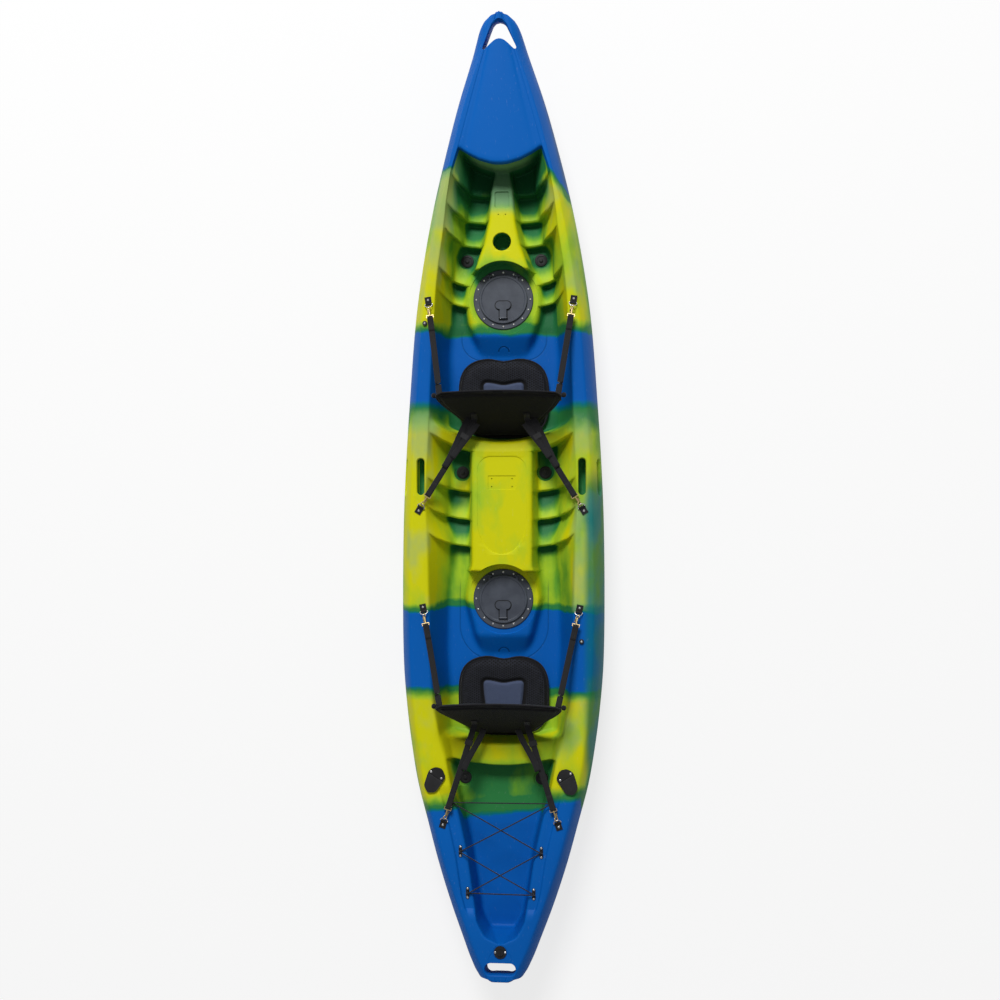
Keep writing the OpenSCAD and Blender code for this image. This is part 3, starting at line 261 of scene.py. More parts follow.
def bandDepth(finish, x, y, zones):
    # how deep a point lies in a band, 1 where it is all yellow; noise warps the edges a little
    v = hullFinish
    broad = finish.noise(3.2, 3, (1, 1.5, 1))
    fine = finish.noise(26, 5, (1, 0.6, 1))
    along = y + (broad - 0.5) * (3 * v["ragged"]) + (fine - 0.5) * v["ragged"]
    along = along - x * zones["aft"] * v["slant"]
    along = along + sum(zones[name] * distance for name, distance in v["moves"].items())
    return highest([((along - low) / lowFade).least((high - along) / highFade)
                    for low, high, lowFade, highFade in v["bands"]])


def mouldedLines(x, y):
    half = abs(x)
    marks = []
    for place, radius in hullFinish["arches"]:
        up = y - place
        ring = abs((half * half + up * up).root() - radius)
        marks.append(ring.rise(3.5, 1.5) * up.rise(-2, 2))
    for width, end, corner, stop in hullFinish["tongues"]:
        dx, dy = (half - (width - corner)).most(0), (end + corner - y).most(0)
        edge = abs((dx * dx + dy * dy).root() - corner)
        marks.append(edge.rise(4.0, 0.8) * y.rise(stop, stop - 60) * y.rise(end - 9, end - 4) * 0.6)
    return highest(marks)


def makeHullPlastic():
    # blue with three marbled bands, whose colour climbs from teal through green and lime to yellow with the
    # distance from the edge, less on the right and low in the cockpits; low in the cockpits that is part
    # colour and part painted shade, and painted shade also takes tone away in the hollows and under the lip
    # and darkens the scoops
    v = hullFinish
    finish = Finish("marbledPolyethylene", {"IOR": 1.48, "Specular IOR Level": 0.12})
    x, y, z = [axis * 1000 for axis in finish.axes(finish.place)]
    zones = makeZones(x, y, z)
    streak = finish.noise(5.5, 4, (1.5, 0.7, 1), (7, 3, 1))
    inside = bandDepth(finish, x, y, zones)
    # zones take tone away: in the hollows and under the lip this is painted shade, on the right and on the
    # consoles it is colour
    loss = (streak - 0.5) * v["marbling"] + sum(zones[name] * share for name, share in v["losses"].items())
    # low floors lose tone: part their greener colour, part painted shade from the walls round them
    loss = loss + zones["floor"] * (0.55 - 0.4 * zones["seatFloor"] - 0.35 * zones["besideHatch"])
    tone = (inside.least(1) - loss.most(0)).most(inside.least(v["leastTone"])).most(0)
    colour = finish.ramp(tone, [(place, v[name]) for name, place in v["climb"].items()])
    patchy = finish.noise(4.2, 4, (1, 0.7, 1), (2, 9, 4)).rise(0.48, 0.66)
    hazy = patchy * zones["raised"] * inside.rise(0.1, 0.5)
    greyed = zones["greyed"].most(zones["bowLeft"]) * inside.rise(0.1, 0.4)
    colour = finish.mix((hazy * 0.55).most(greyed * 0.65), colour, v["haze"])
    # painted shade: dark green in the scoops behind the foot-brace crests and in the bow footwell
    scoopShade = zones["scoopShade"] * (1 - zones["seatFloor"].most(zones["besideHatch"])) * inside.rise(0.1, 0.4)
    scoopShade = scoopShade.most(zones["bowScoopShade"] * 1.4).least(1)
    colour = finish.mix(scoopShade * 0.5, colour, v["shade"])
    flankColour = finish.mix(streak.rise(0.4, 0.6), v["green"], v["teal"])
    colour = finish.mix(zones["flank"] * 0.85, colour, flankColour)
    cloudy = finish.noise(1.7, 3).rise(0.2, 0.9) * 0.5 * (1 - inside.rise(-0.1, 0.1))
    colour = finish.mix(cloudy, colour, v["deepBlue"])
    worn = finish.noise(140, 4, (1, 0.35, 1)).rise(0.62, 0.80) * 0.05
    colour = finish.mix(worn, colour, v["scuff"])
    # the moulded lines are painted shade, dark lines sunk a little by the bump
    line = mouldedLines(x, y) * zones["seatLines"]
    grain = finish.noise(900, 2)
    sway = finish.noise(14, 2)
    finish.surface(colour=finish.mix(line * 0.55, colour, v["grooveShade"]),
                   roughness=0.42 + 0.10 * sway + 0.08 * grain)
    finish.relief(grain * 0.35 + sway * 1.2 - line * 3, 0.5)
    return finish.material


def plasticBody(finish, colour, pale, rough):
    # cloudy tone with faint rubbed patches: a colour and a roughness
    cloud = finish.noise(22, 4)
    rubbed = finish.noise(70, 5).rise(0.58, 0.78)
    body = finish.mix(cloud.rise(0.3, 0.75) * 0.5 + rubbed * 0.35, colour, pale)
    return body, rough + 0.12 * cloud - 0.08 * rubbed


def makeMouldedPlastic(name, colour, pale, grainScale, depth, rough):
    # plastic or rubber with a fine pebbled grain
    finish = Finish(name, {"IOR": 1.47})
    body, roughness = plasticBody(finish, colour, pale, rough)
    pebble = finish.node("ShaderNodeTexVoronoi", {"feature": "SMOOTH_F1"},
                         {"Vector": finish.place, "Scale": grainScale, "Smoothness": 0.6})
    finish.surface(colour=body, roughness=roughness)
    finish.relief(pebble, depth)
    return finish.material


# latch stem: half-width, half-height and middle; bar: half-width, radius and middle, from the hatch's middle
lidFinish = {"stem": (14, 21, -59), "bar": (15.5, 16, -26), "gap": 3.2, "width": 2.4,
             "latchShadow": paint(10, 10, 12), "rough": 0.44}


def makeLidPlastic(colour, pale):
    # hatch plastic with a painted shadow line, sunk a little by the bump like a groove, at an even distance
    # from the outline of the latch
    v = lidFinish
    finish = Finish("lidPlastic", {"IOR": 1.47})
    x, y = [axis * 1000 for axis in finish.axes(finish.place)[:2]]
    front, rear = kayak["frontHatch"], kayak["rearHatch"]
    ahead = y.math("GREATER_THAN", y, (front + rear) / 2)
    wide, up = abs(x), y - rear - ahead * (front - rear)
    half, tall, middle = v["stem"]
    stem = (wide - half).most(abs(up - middle) - tall)
    half, radius, middle = v["bar"]
    dx, dy = (wide - half).most(0), up - middle
    bar = (dx * dx + dy * dy).root() - radius
    # painted shadow of the gap round the latch
    groove = abs(stem.least(bar) - v["gap"]).rise(v["width"], v["width"] * 0.5)
    body, roughness = plasticBody(finish, colour, pale, v["rough"])
    finish.surface(colour=finish.mix(groove * 0.9, body, v["latchShadow"]), roughness=roughness)
    finish.relief(finish.noise(900, 2) * 0.2 - groove, 0.8)
    return finish.material


def makeMetal(name, colour, dull, rough):
    # brushed and lightly tarnished metal
    finish = Finish(name, {"Metallic": 1.0})
    tarnish = finish.noise(120, 5)
    brushed = finish.noise(900, 3, (1, 0.08, 1))
    finish.surface(colour=finish.mix(tarnish.rise(0.45, 0.75) * 0.7, colour, dull),
                   roughness=rough + 0.18 * tarnish + 0.06 * brushed)
    finish.relief(brushed, 0.05)
    return finish.material


fabricFinish = {"black": paint(13, 13, 16), "thread": paint(35, 37, 45), "hole": paint(8, 8, 10),
                "grey": paint(62, 72, 98), "greyThread": paint(84, 94, 120), "cell": 10.5, "yarn": 1.3}


def makePadFabric():
    # honeycomb mesh made of three sets of waves at 60 degrees, a plain grey weave where the piece's own
    # "insert" attribute is 1, and smooth black cloth where its "binding" attribute is 1
    v = fabricFinish
    finish = Finish("padFabric", {"Sheen Weight": 0.12, "Sheen Roughness": 0.4, "Specular IOR Level": 0.25})
    x, y, z = finish.axes(finish.place)
    turn = 2 * math.pi / (v["cell"] * mm) / math.sqrt(3) * 2
    up = y + z * 0.6
    left, right = x * -0.5 + up * 0.866, x * -0.5 - up * 0.866
    waves = (x * turn).sine() + (left * turn).sine() + (right * turn).sine()
    hole = waves.rise(-0.3, 1.1)
    yarn = 2 * math.pi / (v["yarn"] * mm)
    weave = (x * yarn).sine() * (up * yarn).sine()
    insert = finish.node("ShaderNodeAttribute", {"attribute_name": "insert"}, {}, "Fac")
    binding = finish.node("ShaderNodeAttribute", {"attribute_name": "binding"}, {}, "Fac")
    dust = finish.noise(45, 4)
    mesh = finish.mix(hole, v["thread"], v["hole"])
    mesh = finish.mix((dust.rise(0.4, 0.8) * 0.35).most(binding), mesh, v["black"])
    grey = finish.mix(weave * 0.25 + dust * 0.5, v["grey"], v["greyThread"])
    finish.surface(colour=finish.mix(insert, mesh, grey), roughness=0.72 + 0.2 * dust)
    finish.relief((1 - insert) * (1 - binding) * (1 - hole) + weave * 0.15, 0.9)
    return finish.material


def makeCloth(name, colour, thread, yarnSize):
    # plain weave on the piece's own place, with a soft sheen and faint creases
    finish = Finish(name, {"Sheen Weight": 0.08, "Sheen Roughness": 0.45, "Specular IOR Level": 0.2})
    x, y, z = finish.axes(finish.place)
    yarn = 2 * math.pi / (yarnSize * mm)
    weave = (x * yarn).sine() * ((y + z) * yarn).sine()
    crease = finish.noise(16, 3)
    lint = finish.noise(260, 4)
    finish.surface(colour=finish.mix((weave * 0.5 + 0.5) * 0.4 + lint.rise(0.5, 0.8) * 0.3, colour, thread),
                   roughness=0.74 + 0.15 * lint)
    finish.relief(weave * 0.12 + crease * 1.5, 1.0)
    return finish.material


def makeWebbing(name, colour, thread, rib, pick):
    # UV is millimetres across and along: ribs run along the strap and picks slant between them
    finish = Finish(name, {"Sheen Weight": 0.2, "Sheen Roughness": 0.4, "Specular IOR Level": 0.3})
    uv = finish.node("ShaderNodeTexCoord", {}, {}, "UV")
    across, along = finish.axes(uv)[:2]
    ribs = (across * (2 * math.pi / rib)).sine()
    slant = ((along + abs(across) * 0.8) * (2 * math.pi / pick)).sine()
    fuzz = finish.noise(300, 4)
    knit = ribs * 0.5 + slant * 0.5
    finish.surface(colour=finish.mix(knit * 0.3 + fuzz * 0.45, colour, thread), roughness=0.62 + 0.2 * fuzz)
    finish.relief(knit, 0.35)
    return finish.material


hatchTones = (paint(56, 61, 72), paint(76, 82, 93))
rubberTones = (paint(16, 16, 18), paint(40, 40, 45))
blackTones = (paint(14, 14, 16), paint(34, 34, 38))
finishes = {
    "hull": makeHullPlastic(),
    "hatch_plastic": makeMouldedPlastic("hatchPlastic", *hatchTones, 900, 0.12, 0.44),
    "black_rubber": makeMouldedPlastic("blackRubber", *rubberTones, 500, 0.10, 0.58),
    "black_plastic": makeMouldedPlastic("blackPlastic", *blackTones, 700, 0.08, 0.42),
    "steel": makeMetal("screwSteel", (0.80, 0.80, 0.80, 1), (0.50, 0.50, 0.51, 1), 0.22),
    "brass": makeMetal("paleBrass", (0.60, 0.46, 0.22, 1), (0.34, 0.25, 0.11, 1), 0.36),
    "seat_fabric": makePadFabric(),
    "webbing": makeWebbing("strapWebbing", paint(13, 13, 15), paint(42, 42, 47), 2.4, 3.2),
    "bungee_cord": makeWebbing("bungeeBraid", paint(18, 18, 22), paint(70, 72, 84), 1.9, 3.0),
}
backCloth = makeCloth("backCloth", paint(7, 7, 8), paint(15, 15, 17), 1.1)
bindingCloth = makeCloth("bindingTape", paint(18, 18, 21), paint(46, 46, 52), 0.9)
lidPlastic = makeLidPlastic(*hatchTones)
for subpart in frame["record"]["subparts"]:
    isLid = subpart["node"].endswith("_lid")
    mesh = nodes[subpart["node"]].data
    mesh.materials.clear()
    mesh.materials.append(lidPlastic if isLid else finishes[subpart["material_slot"]])
print("finishes made:", len(finishes), "for slots and three more")


# Mesh tools

mirrored = (-1, 1)


def gridFaces(rows, columns, closedRows=False):
    # quads between the points of a grid whose columns close on themselves
    i = np.arange(rows if closedRows else rows - 1)[:, None]
    j = np.arange(columns)[None, :]
    nextI, nextJ = (i + 1) % rows, (j + 1) % columns
    quads = [i * columns + j, i * columns + nextJ, nextI * columns + nextJ, nextI * columns + j]
    return np.stack(np.broadcast_arrays(*quads), -1).reshape(-1, 4)


def loftShape(rings):
    # closed skin over a stack of rings (rows, around, xyz), with a fan round the middle of each end ring
    rows, around = rings.shape[:2]
    points = np.concatenate([rings.reshape(-1, 3), rings[0].mean(0)[None], rings[-1].mean(0)[None]])
    j = np.arange(around)
    nextJ = (j + 1) % around
    lastRow = (rows - 1) * around
    first = np.stack([np.full(around, rows * around), nextJ, j], -1)
    last = np.stack([np.full(around, rows * around + 1), lastRow + j, lastRow + nextJ], -1)
    return points, gridFaces(rows, around).tolist() + first.tolist() + last.tolist()


def joinShapes(shapes):
    points, faces, count = [], [], 0
    for shapePoints, shapeFaces in shapes:
        points.append(shapePoints)
        faces += [[index + count for index in face] for face in shapeFaces]
        count += len(shapePoints)
    return np.concatenate(points), faces


def addPiece(name, shape, material=None):
    points, faces = shape
    mesh = bpy.data.meshes.new(name)
    mesh.from_pydata((points * mm).tolist(), [], faces)
    work = bmesh.new()
    work.from_mesh(mesh)
    bmesh.ops.recalc_face_normals(work, faces=work.faces)
    work.to_mesh(mesh)
    work.free()
    mesh.shade_smooth()
    piece = bpy.data.objects.new(name, mesh)
    scene.collection.objects.link(piece)
    if material:
        mesh.materials.append(material)
    return piece


def applyModifier(piece, modifier):
    bpy.context.view_layer.objects.active = piece
    bpy.ops.object.modifier_apply(modifier=modifier.name)


def carve(piece, shapes):
    # cuts a set of closed shapes out of a piece
    cutter = addPiece("cutter", joinShapes(shapes))
    modifier = piece.modifiers.new("carve", "BOOLEAN")
    modifier.operation = "DIFFERENCE"
    modifier.solver = "MANIFOLD"
    modifier.object = cutter
    applyModifier(piece, modifier)
    bpy.data.objects.remove(cutter)


def turnX(points, degrees):
    c, s = math.cos(math.radians(degrees)), math.sin(math.radians(degrees))
    return points @ np.array([[1, 0, 0], [0, c, s], [0, -s, c]])


def readVectors(items, name):
    # one row of three numbers for each item of a mesh
    flat = np.empty(len(items) * 3)
    items.foreach_get(name, flat)
    return flat.reshape(-1, 3)


def getPoints(mesh):
    return readVectors(mesh.vertices, "co") / mm


def setPoints(piece, points):
    piece.data.vertices.foreach_set("co", (points * mm).ravel())
    piece.data.update()


def gridUv(across, along):
    # a pair for each corner of the quads between grid points, from their places across and along
    i, j = np.meshgrid(np.arange(len(along) - 1), np.arange(len(across) - 1), indexing="ij")
    corners = [(across[j], along[i]), (across[j + 1], along[i]), (across[j + 1], along[i + 1]),
               (across[j], along[i + 1])]
    return np.stack([np.stack(pair, -1) for pair in corners], 2).reshape(-1, 2)


def lengthAlong(path):
    return np.append(0, np.cumsum(np.linalg.norm(np.diff(path, axis=0), axis=1)))


def addUv(piece, uv):
    # uv has one pair for each face corner of the grid part; the end fans keep the last pair
    layer = piece.data.uv_layers.new(name="UVMap")
    flat = np.tile(uv[-1:], (len(piece.data.loops), 1))
    flat[:len(uv)] = uv
    layer.data.foreach_set("uv", flat.ravel())


# Hull lines: those of the solid, but for steeper walls in the tank well

beamTable = [[-1, 0.14], [-0.993, 0.215], [-0.965, 0.295], [-0.925, 0.375], [-0.85, 0.51], [-0.765, 0.64],
             [-0.68, 0.748], [-0.6, 0.845], [-0.515, 0.912], [-0.43, 0.96], [-0.345, 0.99], [-0.215, 1],
             [-0.045, 0.992], [0.08, 0.968], [0.21, 0.93], [0.38, 0.868], [0.51, 0.782], [0.635, 0.668],
             [0.76, 0.52], [0.84, 0.41], [0.93, 0.26], [0.955, 0.22], [0.97, 0.192], [0.985, 0.148],
             [0.995, 0.09], [1, 0.045]]
sheerTable = [[-1, 1], [-0.75, 0.5], [-0.5, 0.14], [-0.2, 0], [0.1, 0.02], [0.4, 0.15], [0.65, 0.45],
              [0.85, 0.78], [1, 1]]
keelTable = [[-1, 215], [-0.97, 165], [-0.9, 85], [-0.8, 32], [-0.7, 8], [-0.62, 0], [-0.3, 0], [0.3, 0],
             [0.62, 0], [0.7, 10], [0.8, 50], [0.88, 120], [0.94, 220], [0.98, 315], [1, 352]]
coamingTable = [[-2000, 20], [-1900, 50], [-1860, 12], [-1842, 12], [-1817, 64], [-1757, 98], [-1660, 113],
                [-1480, 140], [-1328, 174], [-1196, 210], [-1080, 232], [-1000, 255], [-860, 284],
                [-640, 296], [-420, 302], [-133, 308], [-23, 315], [100, 311], [300, 302], [600, 290],
                [875, 271], [967, 261], [1141, 235], [1242, 224], [1362, 205], [1465, 172], [1755, 89],
                [1860, 58], [2000, 8]]
floorTable = [[-2000, 14], [-1900, 40], [-1860, 8], [-1842, 8], [-1817, 54], [-1757, 88], [-1660, 104],
              [-1480, 131], [-1328, 165], [-1196, 188], [-1125, 205], [-1040, 215], [-1012, 225],
              [-640, 242], [-410, 236], [-200, 210], [-85, 236], [35, 222], [200, 215], [262, 225],
              [600, 235], [825, 214], [915, 220], [1029, 200], [1080, 170], [1185, 153], [1300, 136],
              [1390, 128], [1465, 118], [1755, 62], [1860, 40], [2000, 6]]
consoleTable = [[-2000, 8], [-1860, 4], [-1842, 4], [-1750, 30], [-1120, 60], [-1012, 70], [-660, 100],
                [-600, 130], [-422, 176], [-300, 158], [-278, 150], [200, 150], [262, 70], [600, 100],
                [690, 140], [770, 168], [855, 176], [915, 174], [970, 136], [1085, 96], [1185, 76],
                [1300, 62], [1390, 42], [2000, 3]]
skewTable = [[-2000, 0], [-1780, 0], [-1120, 36], [-700, 46], [-200, 68], [35, 66], [255, 90], [600, 60],
             [825, 66], [915, 66], [1080, 64], [1185, 58], [1300, 64], [1390, 74], [1700, 0], [2000, 0]]
bendTable = [[-1120, 2], [-1000, 2], [-700, 5], [150, 5], [230, 2], [300, 2], [700, 6], [1300, 6], [1384, 2]]


def curve(v, table):
    # smooth curve through the rows of a table; each row's slope is that between its neighbours
    t = np.asarray(table, float)
    k = np.arange(len(t))
    a, b = np.maximum(k - 1, 0), np.minimum(k + 1, len(t) - 1)
    slope = (t[b, 1] - t[a, 1]) / (t[b, 0] - t[a, 0])
    i = np.clip(np.searchsorted(t[:, 0], v, side="right") - 1, 0, len(t) - 2)
    gap, d = t[i + 1, 0] - t[i, 0], t[i + 1, 1] - t[i, 1]
    u, p, q = (v - t[i, 0]) / gap, slope[i] * gap, slope[i + 1] * gap
    return t[i, 1] + u * (p + u * (3 * d - 2 * p - q + u * (p + q - 2 * d)))


def straight(v, table):
    t = np.asarray(table, float)
    return np.interp(v, t[:, 0], t[:, 1])


def beamAt(y):
    return kayak["halfBeam"] * curve(y / kayak["halfLength"], beamTable)


def sheerAt(y):
    rise = np.where(np.less(y, 0), kayak["sternRise"], kayak["bowRise"])
    return kayak["gunwale"] + rise * curve(np.divide(y, kayak["halfLength"]), sheerTable)


def keelAt(y):
    return np.maximum(0, curve(y / kayak["halfLength"], keelTable))


def shoulderAt(y):
    return np.minimum(kayak["shoulder"], beamAt(y) * kayak["shoulderShare"])


def coamingAt(y):
    return np.minimum(straight(y, coamingTable), beamAt(y) - shoulderAt(y) - kayak["rimGap"])


def pitchAt(y):
    return math.degrees(math.atan((sheerAt(y + 5) - sheerAt(y - 5)) / 10))


def deckTables():
    # heights along the middle of the deck and along the footwells, as rows of place and height
    k = kayak
    wellEnd, run = k["wellAft"] + 3 * k["wallRun"], k["wallRun"]
    plateau = k["hatch"] + k["hatchStep"]
    frontPlateau, rearPlateau = k["frontHatch"] - k["hatchFlat"], k["rearHatch"] - k["hatchFlat"]
    frontConsole = k["frontHatch"] + k["hatchRecess"] - k["frontOverlap"]
    rearConsole = k["rearHatch"] + k["hatchRecess"] - k["rearOverlap"]
    frontWall, rearWall = k["frontBack"] - k["seatSlope"], k["rearBack"] - k["seatSlope"]
    ridgeAft = frontWall - k["ridgeRun"]
    stern = [[wellEnd, k["well"] + k["wellRise"]], [k["wellFront"] - run, k["well"]],
             [k["wellFront"], k["ridge"]], [rearWall, k["ridge"]], [k["rearBack"], k["seat"]]]
    middle = stern + [
        [k["rearTongue"], k["seat"]], [rearPlateau, plateau], [rearConsole, plateau],
        [rearConsole + run, k["console"]], [ridgeAft, k["console"]], [frontWall, k["ridge"]],
        [k["frontBack"], k["seat"]], [k["frontTongue"], k["seat"]], [frontPlateau, plateau],
        [frontConsole, plateau], [frontConsole + run, k["console"]],
        [k["lip"] - k["noseRun"], k["console"] - k["noseDrop"]],
        [k["lip"] - run, k["console"] - k["noseFall"]]]

    def steps(crests):
        return [row for c in crests for row in ([c - run, k["footwell"]], [c, k["footwell"] + k["step"]])]
    trough = stern + [[k["rearHatch"], k["seat"]]] + steps(k["rearSteps"])
    trough += [[ridgeAft - run, k["footwell"]], [ridgeAft, k["ridge"]], [frontWall, k["ridge"]],
               [k["frontBack"], k["seat"]], [k["frontHatch"] - k["seatEnd"], k["seat"]]]
    trough += steps(k["frontSteps"]) + [[k["lip"] - run, k["footwell"] + k["toeRise"]]]
    return middle, trough


middleTable, troughTable = deckTables()


def halfStations(s):
    # half of each station, from the middle of the deck over the gunwale down to the keel: (stations, 22, 3)
    k = kayak
    skew = straight(s, skewTable)
    y = s + skew
    w, top, keel, shoulder, c = beamAt(y), sheerAt(y), keelAt(y), shoulderAt(y), coamingAt(y)
    ledge = (y > k["ledgeFrom"]) & (y < k["ledgeTo"])
    edge = top - np.where(ledge, k["ledgeDrop"], 0)
    f = np.maximum(np.minimum(np.minimum(straight(s, floorTable), coamingAt(s) - 4), c - 4), c * 0.6)
    h = np.maximum(np.minimum(straight(s, consoleTable), f - 2), f * 0.2)
    decked = (s >= k["lip"]) | (s <= k["wellAft"])
    mz = np.where(decked, sheerAt(s), straight(s, middleTable))
    tz = np.where(decked, sheerAt(s), straight(s, troughTable))
    ox = w - shoulder
    side = np.minimum(24, h * 0.3)
    braced = (s > k["rearHatch"]) & (s < k["frontBack"] - k["seatSlope"] - k["ridgeRun"] - k["wallRun"])
    braced |= (s > k["frontHatch"]) & (s < k["lip"] - k["wallRun"])
    stepRise = np.maximum(0, tz - k["seat"]) / (k["footwell"] + k["step"] - k["seat"])
    fin = np.where(braced, k["fin"] * stepRise, 0)
    wx, ux = f * 0.55 + c * 0.45 - fin, f * 0.2 + c * 0.8 - 0.6 * fin
    lw = np.where(ledge, np.minimum(k["ledgeWidth"], (ox - c) * 0.6), (ox - c) * 0.5)
    beamZ = keel + 0.52 * (top - keel)
    full = 1 - 0.45 * (np.abs(y) / k["halfLength"]) ** 3
    bend = straight(s, bendTable)
    reach = coamingAt(s)
    none = np.zeros_like(s)

    def deck(x, z):
        crown = np.where(s >= k["lip"], k["crown"] * (1 - np.minimum(1, x / reach) ** 2), 0)
        return np.stack([x, s + skew * np.minimum(1, x / c) ** bend, z + crown], -1)

    def rim(x, z):
        return np.stack([x, y, z], -1)
    return np.stack([
        deck(none, mz), deck((h - side) * 0.55, mz), deck(h - side, mz - np.where(mz > tz, 3, 0)),
        deck(h, tz), deck((h + f) / 2, tz), deck(f, tz),
        np.stack([wx, s + skew * (wx / c) ** bend, tz * 0.6 + edge * 0.4], -1),
        np.stack([ux, s + skew * (ux / c) ** bend, tz * 0.25 + edge * 0.75], -1),
        rim(c, edge - np.where(decked, 2, 7)), rim(c + (ox - c) * 0.1, edge), rim(c + lw, edge),
        rim(c + lw + (ox - c) * 0.06, top), rim(ox, top),
        rim(w - shoulder * 0.3, top - 0.4 * (top - beamZ)), rim(w, beamZ),
        rim(w * (1 - 0.05 / full), keel + 0.24 * (top - keel)),
        rim(w * 0.84 * full, keel + 0.11 * (top - keel)),
        rim(w * 0.64 * full, keel), rim(w * 0.46 * full, keel), rim(w * 0.34 * full, keel + 9 * full),
        rim(w * 0.22 * full, keel), rim(none, keel)], 1)


def stationPlaces():
    # every break in the deck, with the long gaps between breaks divided; also which places are breaks
    k = kayak
    ends = np.array([-1, -0.993, -0.98, -0.965, -0.945, -0.93, 0.93, 0.955, 0.97, 0.985, 0.995, 1])
    ends *= k["halfLength"]
    bends = [k["wellAft"], k["lip"], k["ledgeFrom"], k["ledgeFrom"] + 1, k["ledgeTo"] - 1, k["ledgeTo"]]
    bends += [row[0] for row in middleTable + troughTable]
    keys = np.unique(np.concatenate([ends, bends]))
    keys = keys[np.append(True, np.diff(keys) > 0.5)]
    counts = np.ceil(np.diff(keys) / k["stationGap"]).astype(int)
    places = [np.linspace(a, b, n, endpoint=False) for a, b, n in zip(keys[:-1], keys[1:], counts)]
    places = np.append(np.concatenate(places), keys[-1])
    return places, np.isin(places, bends)


def eased(grid, reach, steps=(0, 0.25, 0.5, 0.75, 1)):
    # a row with a reach becomes a curve that leaves the straight lines to its neighbours that far from it
    before, after = np.concatenate([grid[:1], grid[:-1]]), np.concatenate([grid[1:], grid[-1:]])

    def toward(other):
        way = other - grid
        size = np.maximum(np.linalg.norm(way, axis=-1, keepdims=True), 1e-6)
        return grid + way * np.minimum(reach[:, None, None] / size, 0.45)
    a, b = toward(before), toward(after)
    rows = np.stack([a * (1 - u) ** 2 + grid * (2 * u * (1 - u)) + b * u ** 2 for u in steps], 1)
    plain = reach == 0
    rows[plain] = grid[plain][:, None]
    keep = (reach[:, None] > 0) | (np.arange(len(steps)) == 0)[None]
    return rows.reshape(-1, *grid.shape[1:])[keep.ravel()]


def splined(grid, first, last, parts):
    # adds columns between two columns, on the curve through all of them
    columns = [grid[:, :first + 1]]
    for i in range(first, last):
        p0, p1, p2, p3 = grid[:, i - 1], grid[:, i], grid[:, i + 1], grid[:, i + 2]
        for u in np.arange(1, parts) / parts:
            point = 2 * p1 + (p2 - p0) * u + (2 * p0 - 5 * p1 + 4 * p2 - p3) * u ** 2
            columns.append(((point + (3 * p1 - p0 - 3 * p2 + p3) * u ** 3) / 2)[:, None])
        columns.append(p2[:, None])
    return np.concatenate([*columns, grid[:, last + 1:]], 1)


hullShape = {
    # how far each column's corner is rounded, from the middle of the deck to the keel
    "columnReach": [0, 0, 17, 17, 0, 24, 26, 20, 9, 9, 8, 8, 24, 0, 0, 0, 0, 14, 12, 8, 12, 0],
    "flank": (12, 16), "flankParts": 4, "breakReach": 15, "slopeReach": 34, "breakSteps": (0, 0.3, 0.7, 1),
    # rounding at bow and stern, from the inside out: share of the end's section, and how far in it lies
    "endRound": [(1, 7), (0.95, 2.1), (0.82, 0)], "sharpAngle": 38,
}


def hullSkin():
    v = hullShape
    places, breaks = stationPlaces()
    half = halfStations(places)
    slopes = [kayak["frontTongue"], kayak["rearTongue"]]
    slopes += [kayak["frontHatch"] - kayak["hatchFlat"], kayak["rearHatch"] - kayak["hatchFlat"]]
    reach = np.where(breaks, v["breakReach"], 0.0)
    reach = np.where(np.isin(places, slopes), v["slopeReach"], reach)
    half = eased(half, reach, v["breakSteps"])
    first, last = v["flank"]
    reach = np.array(v["columnReach"], float)
    spread = [reach[:first + 1]]
    for i in range(first, last):
        spread += [np.zeros(v["flankParts"] - 1), reach[i + 1:i + 2]]
    reach = np.concatenate([*spread, reach[last + 1:]])
    half = splined(half, first, last, v["flankParts"])
    half = np.swapaxes(eased(np.swapaxes(half, 0, 1), reach), 0, 1)
    ring = np.concatenate([half, half[:, -2:0:-1] * [-1, 1, 1]], 1)
    ends = []
    for row, way in ((ring[0], 1), (ring[-1], -1)):
        middle = row.mean(0)
        ends.append([(row - middle) * [share, 1, share] + middle + [0, way * pull, 0]
                     for share, pull in v["endRound"]])
    stern = np.stack(ends[0][::-1])
    bow = np.stack(ends[1])
    return np.concatenate([stern, ring[1:-1], bow])


def turnedShape(profile, centre, sides=64):
    # rows of radius and height carried round an upright axis
    a = np.linspace(0, 2 * np.pi, sides, endpoint=False)
    r, z = np.array(profile, float).T
    rings = np.stack([r[:, None] * np.cos(a), r[:, None] * np.sin(a), np.repeat(z[:, None], sides, 1)], -1)
    return loftShape(rings + [*centre, 0])


def stadium(length, width, parts=16):
    # outline of a slot that is long along its second axis
    a = np.linspace(0, np.pi, parts)
    cap = np.stack([np.cos(a), np.sin(a)], -1) * width / 2 + [0, (length - width) / 2]
    return np.concatenate([cap, -cap])


def roundedBox(width, length, radius, parts=8):
    a = np.linspace(0, np.pi / 2, parts)
    corner = np.stack([np.cos(a), np.sin(a)], -1) * radius + [width / 2 - radius, length / 2 - radius]
    return np.concatenate([corner, corner[::-1] * [-1, 1], -corner, corner[::-1] * [1, -1]])


def archBox(width, length, corner, arch, parts=16):
    # a box with rounded corners at the bow end and half an ellipse at the aft end
    a, b = np.linspace(0, np.pi / 2, parts), np.linspace(np.pi, 2 * np.pi, 2 * parts)
    front = np.stack([np.cos(a), np.sin(a)], -1) * corner + [width / 2 - corner, length / 2 - corner]
    aft = np.stack([np.cos(b) * width / 2, np.sin(b) * arch + arch - length / 2], -1)
    return np.concatenate([front, front[::-1] * [-1, 1], aft])


